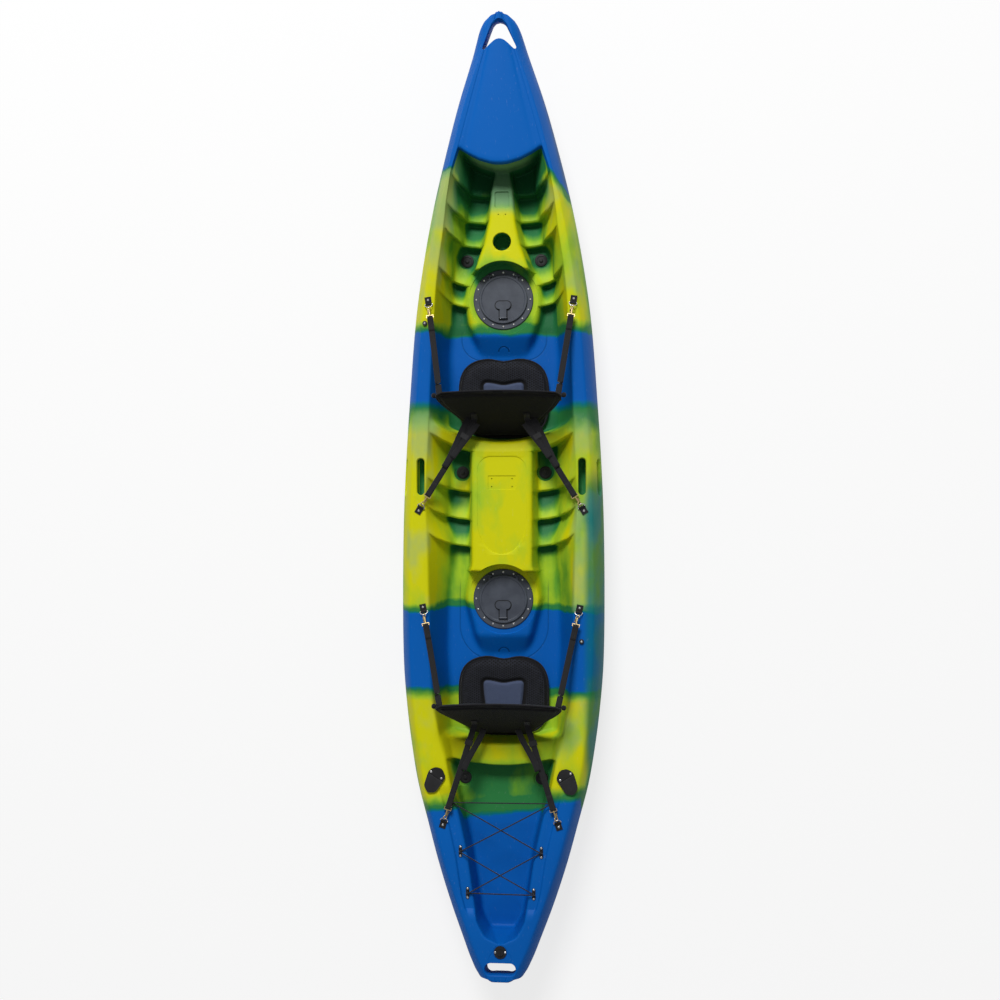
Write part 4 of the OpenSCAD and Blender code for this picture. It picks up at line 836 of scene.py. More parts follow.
def grown(outline, distance):
    # an outline moved out along its own normals
    way = np.roll(outline, -1, 0) - np.roll(outline, 1, 0)
    normal = np.stack([way[:, 1], -way[:, 0]], -1)
    return outline + normal / np.linalg.norm(normal, axis=1, keepdims=True) * distance


def slotShape(outline, levels):
    # an outline stacked at levels of height and growth, so that a cut has a flared mouth
    rings = [np.column_stack([grown(outline, grow), np.full(len(outline), z)]) for z, grow in levels]
    return loftShape(np.stack(rings))


hullCuts = {
    "hatchHole": 98, "hatchRoom": 140, "hatchRoomFloor": 26,
    "scupperBore": 20, "scupperSeat": 34, "scuppers": [(159, 1029), (178, 118), (164, -1188)],
    "cupRadius": 38, "cupDepth": 85, "handleSlot": (152, 30), "handleFloor": 208, "handleSide": 40,
    "rodPlace": (276, -1170), "rodMouth": (16, -14), "rodRake": 27, "rodRadius": 24.5, "rodDepth": 208,
    "drainPlace": -1875, "drainBore": 15, "drainSeat": 30, "drainSink": 1.8,
    "panel": (210, 412), "panelEnds": (58, 140), "panelMiddle": -22.5, "panelDepth": 3,
    "plate": (117, 59), "platePlace": 73, "plateCorner": 3, "plateHoles": (86, 33.5),
    "frontRecess": (60, 69), "frontRecessPlace": 1264.5, "frontRecessCorner": 8,
    "mountHoles": 30, "mountPlace": 1203, "holeRadius": 2.6,
    "sternSlot": (128, 48), "sternPlace": -1945, "sternRake": 0.19,
    # right half of the bow loop's outline: across, and along from the tip of the bow
    "bowLoop": [(0, -36), (16, -40), (27, -50), (70, -140), (70, -148), (62, -150), (36, -124), (18, -109),
                (0, -104)],
    "bowLoopPlace": 1910, "bowLoopRound": 9.0, "bowLoopRake": 0.2,
}


def hatchCut(y):
    # the room under a hatch, the hole in the deck and the recess that the ring sits in
    z, recess = kayak["hatch"], kayak["hatchRecess"]
    hole, room, floor = hullCuts["hatchHole"], hullCuts["hatchRoom"], hullCuts["hatchRoomFloor"]
    profile = [(room - 2, floor), (room, floor + 4), (room, z - 9), (hole, z - 8), (hole, z - 1),
               (hole + 1, z), (recess - 2, z), (recess, z + 2), (recess, z + 4), (recess + 3, z + 8),
               (recess + 3, z + 90)]
    return turnedShape(profile, (0, y), 128)


def scupperCut(x, y):
    bore, seat = hullCuts["scupperBore"], hullCuts["scupperSeat"]
    z = float(straight(y, troughTable)) - 5
    profile = [(bore + 6, -6), (bore, 6), (bore, z), (seat, z), (seat, z + 3), (seat + 3, z + 6),
               (seat + 3, z + 60)]
    return turnedShape(profile, (x, y))


def cupCut():
    r, top = hullCuts["cupRadius"], kayak["console"]
    floor = top - hullCuts["cupDepth"]
    profile = [(r - 5, floor), (r - 1, floor + 2), (r, floor + 8), (r, top - 6), (r + 2, top - 2),
               (r + 6, top + 1), (r + 6, top + 40)]
    return turnedShape(profile, (0, kayak["cupPlace"]))


def rakedSlot(outline, levels, top, rake):
    # a slot that slants toward the bow below a height, or toward the stern where the rake is below 0
    points, faces = slotShape(outline, levels)
    points[:, 1] += np.maximum(0, top - points[:, 2]) * rake
    return points, faces


def bowLoopCut():
    v = hullCuts
    right = np.array(v["bowLoop"], float)
    loop = np.concatenate([right, right[-2:0:-1] * [-1, 1]])[::-1] + [0, kayak["halfLength"]]
    loop = eased(loop[:, None], np.full(len(loop), v["bowLoopRound"]))[:, 0]
    top = float(sheerAt(v["bowLoopPlace"]))
    levels = [(100, 2), (top - 7, 0), (top - 2, 1.5), (top + 1, 4), (top + 4, 7), (top + 90, 7)]
    return rakedSlot(loop, levels, top - 7, v["bowLoopRake"])


def sternSlotCut():
    v = hullCuts
    slot = stadium(*v["sternSlot"])[:, ::-1] * [-1, 1] + [0, v["sternPlace"]]
    top = float(sheerAt(v["sternPlace"]))
    levels = [(0, 0), (top - 6, 0), (top - 2, 1.5), (top + 1, 5), (top + 60, 5)]
    return rakedSlot(slot, levels, top - 6, -v["sternRake"])


def handleCut(e):
    v = hullCuts
    x, y = kayak["handlePlace"]
    floor, top = v["handleFloor"], float(sheerAt(y))
    levels = [(floor, -6), (floor + 3, -2), (floor + 9, 0), (top - 7, 0), (top - 2, 1.5), (top + 1, 4.5),
              (top + 50, 4.5)]
    return slotShape(stadium(*v["handleSlot"]) + [e * x, y], levels)


def handleSideCut(e):
    # the way from a handle's slot out through the side of the hull
    v = hullCuts
    x, y = kayak["handlePlace"]
    levels = [(e * x, 0), (e * (x + 62), 0), (e * (x + 67), 2), (e * (x + 71), 6), (e * (x + 130), 6)]
    points, faces = slotShape(stadium(v["handleSlot"][0], v["handleSide"]) + [0, y], levels)
    middle = v["handleFloor"] + v["handleSide"] / 2
    return np.stack([points[:, 2], points[:, 1], middle - points[:, 0]], -1), faces


def rodCut(e):
    v = hullCuts
    x, y = v["rodPlace"]
    points, faces = turnedShape([(v["rodRadius"], -v["rodDepth"]), (v["rodRadius"], 40)], (0, 0), 48)
    points = turnX(points, v["rodRake"]) + [*v["rodMouth"], 0]
    points = turnX(points * [e, 1, 1], pitchAt(y))
    return points + [e * x, y, float(sheerAt(y))], faces


def drainCut():
    v = hullCuts
    y, bore, seat = v["drainPlace"], v["drainBore"], v["drainSeat"]
    profile = [(bore, -60), (bore, 0), (seat, 0), (seat, 2), (seat + 1.5, 3), (seat + 1.5, 40)]
    points, faces = turnedShape(profile, (0, 0))
    return turnX(points, pitchAt(y)) + [0, y, float(sheerAt(y)) - v["drainSink"]], faces


def consoleCuts():
    # the panel on the rear console, the recess on the front one, and the plate within the panel
    v, top = hullCuts, kayak["console"]
    panelFloor, plateFloor = top - v["panelDepth"], top - 2 * v["panelDepth"]
    panel = archBox(*v["panel"], *v["panelEnds"]) + [0, v["panelMiddle"]]
    recess = roundedBox(*v["frontRecess"], v["frontRecessCorner"]) + [0, v["frontRecessPlace"]]
    plate = roundedBox(*v["plate"], v["plateCorner"]) + [0, v["platePlace"]]
    return (slotShape(panel, [(panelFloor, -2), (top - 2, -1), (top - 0.5, 1), (top + 0.5, 3),
                              (top + 50, 3)]),
            slotShape(recess, [(top - 14, -2), (top - 12, 0), (top - 6, 1), (top - 2, 3), (top + 40, 3)]),
            slotShape(plate, [(plateFloor, -0.6), (plateFloor + 0.6, 0), (top - 3.4, 0), (top - 2.6, 1),
                              (top + 20, 1)]))


def holeCuts():
    # four holes in the plate and two on the front console
    v, top, r = hullCuts, kayak["console"], hullCuts["holeRadius"]
    wide, long = v["plateHoles"]
    holes = [(a * wide / 2, v["platePlace"] + b * long / 2, top - 26) for a in mirrored for b in mirrored]
    holes += [(a * v["mountHoles"] / 2, v["mountPlace"], top - 30) for a in mirrored]
    return [turnedShape([(r, floor), (r, top + 20)], (x, y), 20) for x, y, floor in holes]


def carveHull(hull):
    # three rounds, because a cut may not overlap another of its own round
    panel, recess, plate = consoleCuts()
    first = [hatchCut(y) for y in (kayak["frontHatch"], kayak["rearHatch"])]
    first += [scupperCut(e * x, y) for x, y in hullCuts["scuppers"] for e in mirrored]
    first += [cupCut(), bowLoopCut(), sternSlotCut()]
    for e in mirrored:
        first += [handleCut(e), rodCut(e)]
    first += [drainCut(), panel, recess]
    second = [handleSideCut(e) for e in mirrored] + [plate]
    for shapes in (first, second, holeCuts()):
        carve(hull, shapes)


hull = addPiece("hullMoulding", loftShape(hullSkin()), finishes["hull"])
print("hull skin:", len(hull.data.polygons), "faces")
carveHull(hull)
hull.data.shade_smooth()
hull.data.set_sharp_from_angle(angle=math.radians(hullShape["sharpAngle"]))
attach(hull, "hull")
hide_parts("hull_shell")
print("hull carved:", len(hull.data.polygons), "faces")


# Soft goods

clothFrames = 20


def power(v, n):
    return np.sign(v) * np.abs(v) ** n


def smooth(u):
    u = np.clip(u, 0, 1)
    return u * u * (3 - 2 * u)


def bell(distance, width):
    return np.exp(-(distance / width) ** 2)


def puff(piece, voxel, pressure, cap):
    # remeshes a closed form and blows it up as cloth; no point sinks in or goes further than cap
    modifier = piece.modifiers.new("remesh", "REMESH")
    modifier.mode = "VOXEL"
    modifier.voxel_size = voxel * mm
    applyModifier(piece, modifier)
    start = getPoints(piece.data)
    normals = readVectors(piece.data.vertex_normals, "vector")
    cloth = piece.modifiers.new("puff", "CLOTH")
    cloth.settings.use_pressure = True
    cloth.settings.uniform_pressure_force = pressure
    cloth.settings.effector_weights.gravity = 0
    cloth.point_cache.frame_start = 1
    cloth.point_cache.frame_end = clothFrames
    for step in range(1, clothFrames + 1):
        scene.frame_set(step)
    blown = piece.evaluated_get(bpy.context.evaluated_depsgraph_get()).to_mesh()
    move = getPoints(blown) - start
    piece.modifiers.remove(cloth)
    scene.frame_set(1)
    move -= normals * np.minimum(np.sum(move * normals, axis=1, keepdims=True), 0)
    size = np.maximum(np.linalg.norm(move, axis=1, keepdims=True), 1e-6)
    setPoints(piece, start + move * np.minimum(1, cap / size))
    modifier = piece.modifiers.new("fine", "SUBSURF")
    modifier.levels = modifier.render_levels = 1
    applyModifier(piece, modifier)
    piece.data.shade_smooth()


def addAttribute(piece, name, values):
    piece.data.attributes.new(name, "FLOAT", "POINT").data.foreach_set("value", values.astype(np.float32))


def tubeShape(path, radius, sides, reference):
    # a circle carried round a closed path, square to the path and level with a reference direction
    way = np.roll(path, -1, 0) - np.roll(path, 1, 0)
    way /= np.linalg.norm(way, axis=1, keepdims=True)
    across = np.cross(way, reference)
    across /= np.linalg.norm(across, axis=1, keepdims=True)
    up = np.cross(across, way)
    a = np.linspace(0, 2 * np.pi, sides, endpoint=False)[None, :, None]
    rings = path[:, None] + radius * (np.cos(a) * across[:, None] + np.sin(a) * up[:, None])
    return rings.reshape(-1, 3), gridFaces(len(path), sides, True).tolist()


def softBox(x, y, halfWidth, front, back, corner):
    # signed distance to a rounded box whose sides and front may bend
    dx = np.abs(x) - halfWidth + corner
    dy = np.maximum(y - front, back - y) + corner
    outside = np.hypot(np.maximum(dx, 0), np.maximum(dy, 0))
    return outside + np.minimum(np.maximum(dx, dy), 0) - corner


padShape = {
    "width": 383, "length": 338, "thick": 38, "aftThick": 22, "thickRun": (40, 90), "corner": 0.62,
    "dish": 14, "dishWidth": 45, "frontPlace": 268, "rearPlace": -1006, "floor": kayak["seat"] + 0.2,
    "shrink": 3, "voxel": 5, "pressure": 4, "swell": 6, "piping": 4.2, "pipingHeight": 0.62,
    # the pillow from its foot up: how far the outline is pulled in, and the share of the thickness
    "rows": [(7, 0.02), (2, 0.2), (0, 0.5), (3, 0.78), (9, 0.93), (18, 0.97), (60, 0.9), (105, 0.8)],
    # grey insert: half-widths aft and fore, ends, dip of its front edge, and the seam round it
    "insert": (72, 90), "insertTaper": 190, "insertFront": 238, "insertBack": 34, "insertCorner": 20,
    "insertDip": 11, "insertDipWidth": 42, "groove": 7.5, "grooveWidth": 7, "raise": 3.0, "raiseRun": 16,
    # black tape: from this share of the outline out, and beside the seam, with its distance and width
    "bound": 0.91, "boundRun": 0.02, "tape": (3, 9.5),
    # swelling round the insert: distance from the seam, width and height
    "border": (52, 30, 2.5),
    # lower at the aft end, where the foot of the backrest comes down as it tilts forward
    "footRoom": 9, "footRun": (25, 60),
}


def padThick(y):
    start, run = padShape["thickRun"]
    return padShape["aftThick"] + (padShape["thick"] - padShape["aftThick"]) * smooth((y - start) / run)


def padRing(inset, share, count=120):
    # superellipse pulled in by inset, dipped in the middle of its front edge, at a share of the thickness
    v = padShape
    a = np.linspace(0, 2 * np.pi, count, endpoint=False)
    x = (v["width"] / 2 - inset) * power(np.cos(a), v["corner"])
    y = v["length"] / 2 + (v["length"] / 2 - inset) * power(np.sin(a), v["corner"])
    y -= np.where(np.sin(a) > 0, v["dish"] * bell(x, v["dishWidth"]) * np.sin(a), 0)
    return np.stack([x, y, padThick(y) * share], -1)


def makePad():
    # a pillow of stacked outlines, blown up, then sunk along the seam round its grey insert
    v = padShape
    place = [0, v["frontPlace"], v["floor"]]
    rings = np.stack([padRing(inset + v["shrink"], share) for inset, share in v["rows"]])
    pad = addPiece("frontPad", loftShape(rings + place), finishes["seat_fabric"])
    puff(pad, v["voxel"], v["pressure"], v["swell"])
    points = getPoints(pad.data)
    x, y, z = (points - place).T
    aftHalf, foreHalf = v["insert"]
    halfWidth = aftHalf + (foreHalf - aftHalf) * smooth((y - v["insertBack"]) / v["insertTaper"])
    front = v["insertFront"] - v["insertDip"] * bell(x, v["insertDipWidth"])
    edge = softBox(x, y, halfWidth, front, v["insertBack"], v["insertCorner"])
    upper = smooth((z / padThick(y) - 0.5) / 0.25)
    borderPlace, borderWidth, borderHeight = v["border"]
    footStart, footRun = v["footRun"]
    lift = v["raise"] * smooth(-edge / v["raiseRun"]) - v["groove"] * bell(edge, v["grooveWidth"])
    lift += borderHeight * bell(edge - borderPlace, borderWidth)
    lift -= v["footRoom"] * (1 - smooth((y - footStart) / footRun))
    points[:, 2] = np.maximum(points[:, 2] + upper * lift, v["floor"])
    setPoints(pad, points)
    addAttribute(pad, "insert", upper * smooth(0.5 - (edge + 4) / 2.5))
    n = 2 / v["corner"]
    spread = (np.abs(2 * x / v["width"]) ** n + np.abs(2 * y / v["length"] - 1) ** n) ** (1 / n)
    tapePlace, tapeWidth = v["tape"]
    seamTape = np.exp(-((edge - tapePlace) / tapeWidth) ** 4) * upper
    addAttribute(pad, "binding", np.maximum(smooth((spread - v["bound"]) / v["boundRun"]), seamTape))
    path = padRing(1.0, v["pipingHeight"], 240) + place
    return pad, addPiece("frontPadPiping", tubeShape(path, v["piping"], 12, (0, 0, 1)), bindingCloth)


backShape = {
    "lean": 27, "foot": 22, "hinge": 150.4, "wrap": -12, "wrapFrom": 120, "wide": 256, "length": 343,
    "shrink": 2, "voxel": 5, "pressure": 4, "swell": 5, "piping": 3.4, "pipingUp": (0.0, 0.87, -0.48),
    # rows of the pillow near its foot and below its top, with the share of the thickness that each has
    "footRows": [(-11, 0.3), (-9, 0.58), (-5, 0.86), (2, 1)],
    "topRows": [(27, 0.95), (11, 0.75), (5, 0.5), (2, 0.3)], "plainRows": (20, 312, 18),
    # half-width and thickness at heights up the slope
    "halfWidth": [[-13, 128], [15, 134], [60, 148], [150, 188], [230, 230], [290, 253], [320, 256],
                  [360, 236]],
    "thick": [[0, 26], [60, 28], [150, 29], [240, 26], [305, 20], [360, 15]],
    # sewn panel on the front: half-widths at its foot and top, where they change, ends and corner
    "panel": (84, 114), "panelTaper": (60, 160), "panelTop": 268, "panelFoot": 44, "panelCorner": 26,
    "groove": 3.5, "grooveWidth": 5, "bulge": 2, "bulgeRun": 20,
    # hem along the edge of the back: distance from the edge, width and height
    "hem": (20, 4, 1.2),
    "knob": 10.5, "knobPlace": (266, 4, 296),
}


def backPlace(local, seatPlace):
    # from the backrest's own frame (across, forward, up its slope) to the boat
    v = backShape
    c, s = math.cos(math.radians(v["lean"])), math.sin(math.radians(v["lean"]))
    x, y, z = local[..., 0], local[..., 1], local[..., 2]
    return np.stack([x, seatPlace + v["foot"] + y * c + z * s, v["hinge"] - y * s + z * c], -1)


def backLocal(points, seatPlace):
    v = backShape
    c, s = math.cos(math.radians(v["lean"])), math.sin(math.radians(v["lean"]))
    y, z = points[:, 1] - seatPlace - v["foot"], points[:, 2] - v["hinge"]
    return points[:, 0], y * c - z * s, y * s + z * c


def backWrap(x, height):
    # how far the wings stand ahead of the middle, or behind it where the value is below 0
    v = backShape
    return v["wrap"] * smooth(np.asarray(height) / v["wrapFrom"]) * (x / v["wide"]) ** 2


def backRing(height, share, count=96):
    v = backShape
    a = np.linspace(0, 2 * np.pi, count, endpoint=False)
    w = float(curve(np.array(height), v["halfWidth"])) - v["shrink"] - (1 - share) * 10
    t = (float(straight(height, v["thick"])) - v["shrink"]) * share
    x = w * power(np.cos(a), 0.5)
    return np.stack([x, t / 2 * power(np.sin(a), 0.5) + backWrap(x, height), np.full(count, height)], -1)


def makeBack():
    # winged pillow stacked up its slope; the front has a sewn panel, the back only a hem
    v = backShape
    place, length = padShape["frontPlace"], v["length"]
    rows = v["footRows"] + [(height, 1) for height in range(*v["plainRows"])]
    rows += [(length - down, share) for down, share in v["topRows"]]
    rings = np.stack([backRing(height, share) for height, share in rows])
    back = addPiece("frontBack", loftShape(backPlace(rings, place)), backCloth)
    puff(back, v["voxel"], v["pressure"], v["swell"])
    points = getPoints(back.data)
    x, y, z = backLocal(points, place)
    y = y - backWrap(x, z)
    footHalf, topHalf = v["panel"]
    taperStart, taperRun = v["panelTaper"]
    halfWidth = footHalf + (topHalf - footHalf) * smooth((z - taperStart) / taperRun)
    edge = softBox(x, z, halfWidth, v["panelTop"], v["panelFoot"], v["panelCorner"])
    face, rim = smooth((y - 2) / 5), smooth((-y - 2) / 5)
    hemPlace, hemWidth, hemHeight = v["hem"]
    outer = curve(np.clip(z, -13, 360), v["halfWidth"]) - np.abs(x)
    hem = bell(np.minimum(outer, length - z) - hemPlace, hemWidth)
    push = face * (v["bulge"] * smooth(-edge / v["bulgeRun"]) - v["groove"] * bell(edge, v["grooveWidth"]))
    push += rim * hem * hemHeight
    lean = math.radians(v["lean"])
    setPoints(back, points + push[:, None] * [0, math.cos(lean), -math.sin(lean)])
    addAttribute(back, "insert", face * smooth(0.5 - edge / 2.5))
    back.data.materials.append(finishes["seat_fabric"])
    fx, fy, fz = backLocal(readVectors(back.data.polygons, "center") / mm, place)
    back.data.polygons.foreach_set("material_index", (fy - backWrap(fx, fz) > 3).astype(np.int32))
    return back, makeBackPiping()


def makeBackPiping():
    # the bound edge of the backrest and the knob at each wing
    v = backShape
    place = padShape["frontPlace"]
    corner = v["length"] - 4 - 39 * np.cos(np.linspace(0.12, 1.5, 24)) ** 2
    heights = np.concatenate([np.linspace(-8, 300, 60), corner])
    sides = curve(heights, v["halfWidth"]) - 2 - 12 * smooth((heights - 318) / 24)
    right = np.stack([sides, heights], -1)
    top = np.linspace(1, -1, 48)[1:-1] * sides[-1]
    bottom = np.linspace(-1, 1, 40)[1:-1] * sides[0]
    topRow = np.stack([top, np.full_like(top, heights[-1] + 1)], -1)
    bottomRow = np.stack([bottom, np.full_like(bottom, -11.0)], -1)
    outline = np.concatenate([right, topRow, right[::-1] * [-1, 1], bottomRow])
    path = np.stack([outline[:, 0], backWrap(outline[:, 0], outline[:, 1]), outline[:, 1]], -1)
    shapes = [tubeShape(backPlace(path, place), v["piping"], 10, v["pipingUp"])]
    a, r = np.linspace(-np.pi / 2, np.pi / 2, 13), v["knob"]
    for e in mirrored:
        points, faces = turnedShape(np.stack([r * np.cos(a) + 0.2, r * np.sin(a)], -1), (0, 0), 24)
        points = points + np.array(v["knobPlace"]) * [e, 1, 1]
        shapes.append((backPlace(points, place), faces))
    return addPiece("frontBackPiping", joinShapes(shapes), bindingCloth)


def shifted(piece, name, distance):
    # the same piece again, further along the boat
    again = piece.copy()
    again.data = piece.data.copy()
    again.name = again.data.name = name
    scene.collection.objects.link(again)
    setPoints(again, getPoints(again.data) + [0, distance, 0])
    return again


def makeSeats():
    pad, padPiping = makePad()
    back, backPiping = makeBack()
    step = padShape["rearPlace"] - padShape["frontPlace"]
    sets = {"front": (pad, padPiping, back, backPiping)}
    names = ("rearPad", "rearPadPiping", "rearBack", "rearBackPiping")
    sets["rear"] = tuple(shifted(piece, name, step) for piece, name in zip(sets["front"], names))
    for end, (pad, padPiping, back, backPiping) in sets.items():
        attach(pad, "hull")
        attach(padPiping, "hull")
        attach(back, f"{end}_back")
        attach(backPiping, f"{end}_back")
        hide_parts(f"{end}_seat_pad")
        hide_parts(f"{end}_backrest")
    print("seats made:", len(pad.data.polygons), "and", len(back.data.polygons), "faces")


makeSeats()


# Webbing and cord

def chaikin(points, times=2):
    # cuts the corners of an open path, keeping its ends
    for _ in range(times):
        a, b = points[:-1] * 0.75 + points[1:] * 0.25, points[:-1] * 0.25 + points[1:] * 0.75
        middle = np.stack([a, b], 1).reshape(-1, points.shape[1])
        points = np.concatenate([points[:1], middle[1:-1], points[-1:]])
    return points


def ribbonShape(path, across, width, thick):
    # a flat section with rounded edges carried along a path; also its UV in millimetres
    way = np.gradient(path, axis=0)
    way /= np.linalg.norm(way, axis=1, keepdims=True)
    side = across - way * (across * way).sum(1, keepdims=True)
    side /= np.linalg.norm(side, axis=1, keepdims=True)
    up = np.cross(side, way)
    half, t = width / 2, thick / 2
    flat = np.array([-half, -half + 0.5 * t, -half / 2, 0, half / 2, half - 0.5 * t, half])
    lift = np.array([0, t, t, t, t, t, 0])
    upper, lower = np.stack([flat, lift], -1), np.stack([flat, -lift], -1)
    section = np.concatenate([upper, lower[-2:0:-1]])
    rings = path[:, None] + section[None, :, :1] * side[:, None] + section[None, :, 1:] * up[:, None]
    return loftShape(rings), gridUv(np.append(section[:, 0], section[0, 0]), lengthAlong(path))


strapShape = {
    "width": 25, "thick": 1.9, "slack": 6, "foldY": 18, "foldZ": 5, "ringRadius": 16, "ringLift": 35,
    "clawOffset": 3.75, "hookLength": 44, "eye": 37.5, "mainShares": (0.08, 0.94, 14), "twistFrom": 0.7,
    # the end sewn round the hook's eye: along from the eye, and up
    "loop": [(64.5, -2.3), (42.5, -2.3), (20.5, -2.5), (7.5, -3.1), (1, -3.1), (-0.6, 0), (1, 3.1),
             (7.5, 3.1), (18.5, 0.6)],
    # where a strap meets the backrest, on which face, which way its patch runs and how far that sinks in
    "fore": {"end": (243, 3.2, 300), "face": 1, "slope": -1, "sink": 1.4},
    "aft": {"end": (110, -25, 150), "face": -1, "slope": 1, "sink": 3},
    "patch": 46,
    # a point at this share of a strap's length is worked out but not used
    "freeShare": 0.7,
    # loose strap ends: how far along the strap they reach, and how far out they lie at each end
    "tails": {"front": [(0.36, 0.98, 4, 24), (0.50, 0.98, -4, -18)], "rear": [(0.46, 0.99, -14, -42)]},
    "tailLift": 2.4, "tailRise": 4, "tailPoints": 24,
    "anchors": {"front_fore": (304, 835), "front_aft": (346, -45), "rear_fore": (328, -449),
                "rear_aft": (242, -1356)},
}


def strapLine(end, run, e):
    # D-ring tip, directions along and across, and the strap's end in the backrest's and the boat's frame
    v = strapShape
    x, y = v["anchors"][f"{end}_{run}"]
    local = np.array(v[run]["end"], float) * [e, 1, 1]
    target = backPlace(local, padShape[f"{end}Place"])
    x = e * x
    turn = math.atan2(x - target[0], target[1] - y)
    c, s = math.cos(turn), math.sin(turn)
    lift = math.radians(v["ringLift"])
    out = v["foldY"] + v["ringRadius"] * math.cos(lift)
    offset = np.array([[-s * out, c * out, v["foldZ"] + v["ringRadius"] * math.sin(lift)]])
    tip = np.array([x, y, float(sheerAt(y)) + 0.2]) + turnX(offset, pitchAt(y))[0]
    way = target - tip
    rise = math.atan2(way[2], math.hypot(way[0], way[1]))
    along = np.array([-s * math.cos(rise), c * math.cos(rise), math.sin(rise)])
    return tip, along, np.array([c, s, 0.0]), local, target


def sagging(begin, target, u):
    # points at shares u of a strap that hangs a little below the straight line
    return begin * (1 - u) + target * u - np.array([0, 0, 1]) * strapShape["slack"] * 4 * u * (1 - u)


def makeStrap(end, run, e):
    v = strapShape
    tip, along, across, local, target = strapLine(end, run, e)
    up = np.cross(across, along)
    eye = tip + along * (v["clawOffset"] + v["eye"])
    loop = [eye + along * distance + up * height for distance, height in v["loop"]]
    begin = tip + along * (v["clawOffset"] + v["hookLength"] + 0.2)
    main = sagging(begin, target, np.linspace(*v["mainShares"])[:, None])
    face, slope, sink = v[run]["face"], v[run]["slope"], v[run]["sink"]
    steps = np.array([[0, face * 1.5, 0], [0, face * -0.35 * sink, slope * 8],
                      [0, face * -0.85 * sink, slope * 24], [0, face * -sink, slope * v["patch"]]])
    patch = backPlace(local + steps, padShape[f"{end}Place"])
    path = chaikin(np.concatenate([loop, main, patch]))
    reached = ((path - begin) @ along) / np.linalg.norm(target - begin)
    share = smooth((reached - v["twistFrom"]) / (1 - v["twistFrom"]))[:, None]
    sides = across * (1 - share) + np.array([1.0, 0, 0]) * share
    shape, uv = ribbonShape(path, sides, v["width"], v["thick"])
    side = "left" if e < 0 else "right"
    strap = addPiece(f"strap-{end}-{run}-{side}", shape, finishes["webbing"])
    addUv(strap, uv)
    finish = begin * (1 - v["freeShare"]) + target * v["freeShare"]
    tuple(begin * mm)
    tuple(finish * mm)
    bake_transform(strap)
    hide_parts(f"strap_{end}_{run}_{side}")
    if run == "aft":
        for number, values in enumerate(v["tails"][end]):
            makeTail(f"{end}-{side}-{number + 1}", values, begin, target, across * e, up)


def makeTail(name, values, begin, target, outward, up):
    # the loose end of an adjustable strap, lying beside and over the strap from the backrest toward the hook
    v = strapShape
    low, high, near, far = values
    u = np.linspace(low, high, v["tailPoints"])[:, None]
    share = (u - low) / (high - low)
    path = sagging(begin, target, u) + outward * (near + (far - near) * smooth(share))
    path = path + up * (v["tailLift"] + v["tailRise"] * (1 - smooth(share * 4)))
    shape, uv = ribbonShape(path, np.repeat(outward[None], len(path), 0), v["width"], v["thick"])
    tail = addPiece(f"tail-{name}", shape, finishes["webbing"])
    addUv(tail, uv)
    finish = begin * (1 - v["freeShare"]) + target * v["freeShare"]
    tuple(begin * mm)
    tuple(finish * mm)
    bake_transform(tail)


for end in ("front", "rear"):
    for run in ("fore", "aft"):
        for e in mirrored:
            makeStrap(end, run, e)
print("straps made")


bungeeShape = {
    "radius": 2.5, "eyes": [(210, -1263), (169, -1467), (138, -1638)], "eyeTop": 10.2, "off": 5.1,
    "order": [(-1, 0), (1, 0), (-1, 1), (1, 2), (-1, 2), (1, 1)], "lift": [0, 4, 4, 0, -4, -4],
    "turn": 60, "sides": 12, "turnPoints": 7, "runPoints": 40,
}


def makeBungee():
    # one closed cord laced from eye to eye: over the bar of one, across, under the bar of the next, round it
    v = bungeeShape
    eyes = np.array([[e * v["eyes"][i][0], v["eyes"][i][1], 0] for e, i in v["order"]], float)
    eyes[:, 2] = sheerAt(eyes[:, 1]) - kayak["ledgeDrop"] + v["eyeTop"]
    sign = np.array([e for e, i in v["order"]])[:, None]
    bend = np.radians(np.linspace(-v["turn"], v["turn"], v["turnPoints"]))
    zero = np.zeros((len(eyes), len(bend)))
    turns = eyes[:, None] + v["off"] * np.stack([sign * np.cos(bend), zero, zero + np.sin(bend)], -1)
    u = np.linspace(0, 1, v["runPoints"])[None, :, None]
    up = np.array([0, 0, v["off"]])
    a, b = (eyes + up)[:, None], (np.roll(eyes, -1, 0) - up)[:, None]
    runs = a * (1 - u) + b * u
    runs[..., 2] += np.array(v["lift"])[:, None] * np.sin(np.pi * u[..., 0])
    path = np.concatenate([turns, runs], 1).reshape(-1, 3)
    shape = tubeShape(path, v["radius"], v["sides"], np.array([0, 1, 0.01]))
    bungee = addPiece("bungeeCord", shape, finishes["bungee_cord"])
    length = lengthAlong(np.concatenate([path, path[:1]]))
    addUv(bungee, gridUv(np.linspace(0, 2 * np.pi * v["radius"], v["sides"] + 1), length))
    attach(bungee, "hull")
    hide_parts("bungee")
    print("bungee laced, mm:", round(float(length[-1])))


makeBungee()


# Studio

# eye, look and lamp in metres
studio = {
    "eye": (0.45, 0.0, 5.9), "look": (0.0, 0.0, 0.34), "view": 40.7, "top": (0, 1, 0),
    "lampPlace": (-1.7, 10.2, 11.0), "lampLook": (0, 0, 0.2), "lampSize": 4.8, "lampPower": 2100,
    "skyLevel": 0.28, "floorHalf": 9000, "floorDrop": 1, "floorShade": 0.24, "paper": (0.86, 0.86, 0.86, 1),
    "paperRough": 0.9,
}


def facing(place, look, up):
    # a turn that looks from one point to another, with up as near the top of the view as it can be
    back = np.array(place, float) - look
    back /= np.linalg.norm(back)
    side = np.cross(up, back)
    side /= np.linalg.norm(side)
    matrix = np.eye(4)
    matrix[:3] = np.column_stack([side, np.cross(back, side), back, place])
    return Matrix(matrix.tolist())


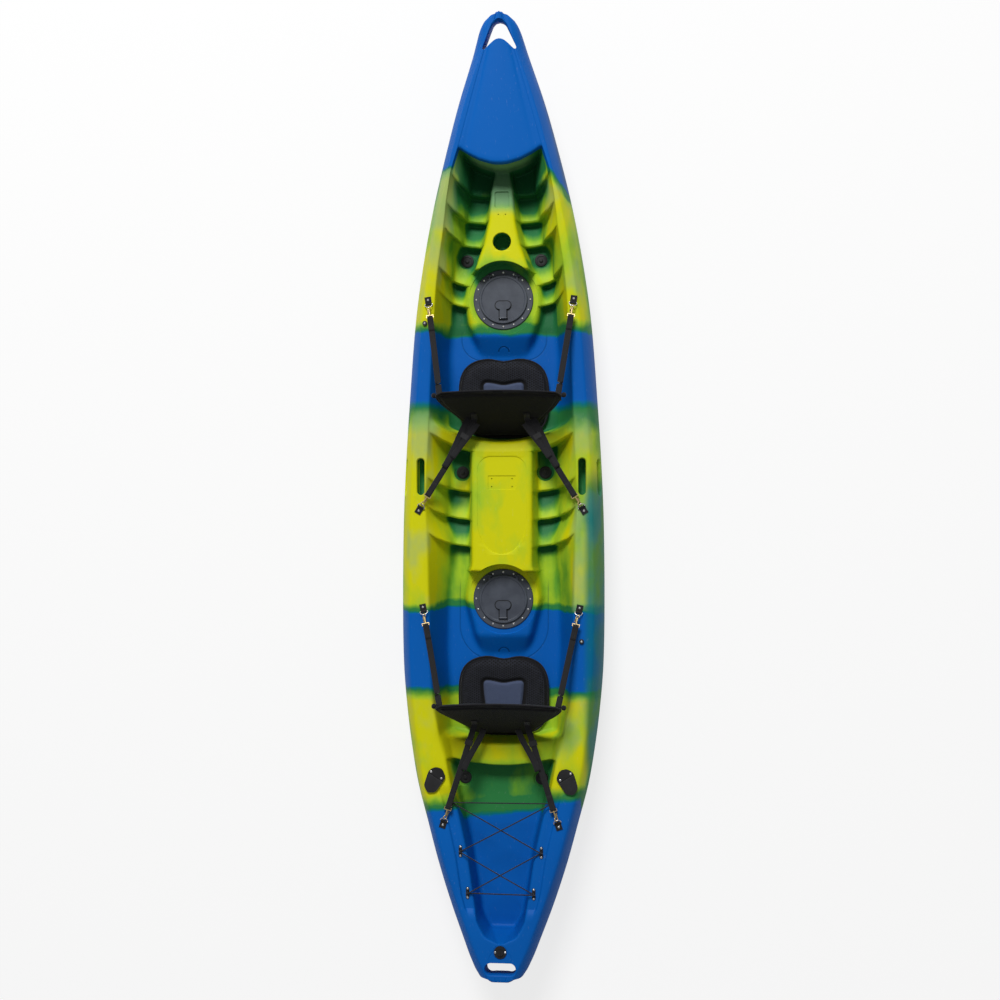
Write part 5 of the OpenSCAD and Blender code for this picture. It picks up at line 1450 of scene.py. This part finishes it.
def makeCamera():
    v = studio
    camera = bpy.data.objects.new("camera", bpy.data.cameras.new("camera"))
    camera.data.sensor_fit = "HORIZONTAL"
    camera.data.angle = math.radians(v["view"])
    camera.matrix_world = facing(v["eye"], v["look"], v["top"])
    scene.collection.objects.link(camera)
    scene.camera = camera


def makeLight():
    # one large lamp, and a sky that is white to the camera and dim to the boat
    v = studio
    lamp = bpy.data.objects.new("softbox", bpy.data.lights.new("softbox", "AREA"))
    lamp.data.size = v["lampSize"]
    lamp.data.energy = v["lampPower"]
    lamp.matrix_world = facing(v["lampPlace"], v["lampLook"], v["top"])
    scene.collection.objects.link(lamp)
    world = bpy.data.worlds.new("studio")
    scene.world = world
    world.use_nodes = True
    tree = world.node_tree
    sky = tree.nodes["Background"]
    sky.inputs["Color"].default_value = (1, 1, 1, 1)
    path = tree.nodes.new("ShaderNodeLightPath")
    level = tree.nodes.new("ShaderNodeMapRange")
    level.inputs["To Min"].default_value = v["skyLevel"]
    tree.links.new(path.outputs["Is Camera Ray"], level.inputs["Value"])
    tree.links.new(level.outputs[0], sky.inputs["Strength"])


def makeFloor():
    # white paper that mostly glows to the camera, so that only a soft shadow is left on it
    v = studio
    far, down = v["floorHalf"], -v["floorDrop"]
    corners = np.array([[-far, -far, down], [far, -far, down], [far, far, down], [-far, far, down]], float)
    floor = addPiece("floor", (corners, [[0, 1, 2, 3]]))
    paper = bpy.data.materials.new("paper")
    paper.use_nodes = True
    tree = paper.node_tree
    shade = tree.nodes["Principled BSDF"]
    shade.inputs["Base Color"].default_value = v["paper"]
    shade.inputs["Roughness"].default_value = v["paperRough"]
    glow = tree.nodes.new("ShaderNodeEmission")
    path = tree.nodes.new("ShaderNodeLightPath")
    share = tree.nodes.new("ShaderNodeMath")
    share.operation = "MULTIPLY"
    share.inputs[1].default_value = 1 - v["floorShade"]
    blend = tree.nodes.new("ShaderNodeMixShader")
    tree.links.new(path.outputs["Is Camera Ray"], share.inputs[0])
    tree.links.new(share.outputs[0], blend.inputs[0])
    tree.links.new(shade.outputs[0], blend.inputs[1])
    tree.links.new(glow.outputs[0], blend.inputs[2])
    tree.links.new(blend.outputs[0], tree.nodes["Material Output"].inputs["Surface"])
    floor.data.materials.append(paper)


makeCamera()
makeLight()
makeFloor()
scene.view_settings.view_transform = "Standard"
print("studio lit")
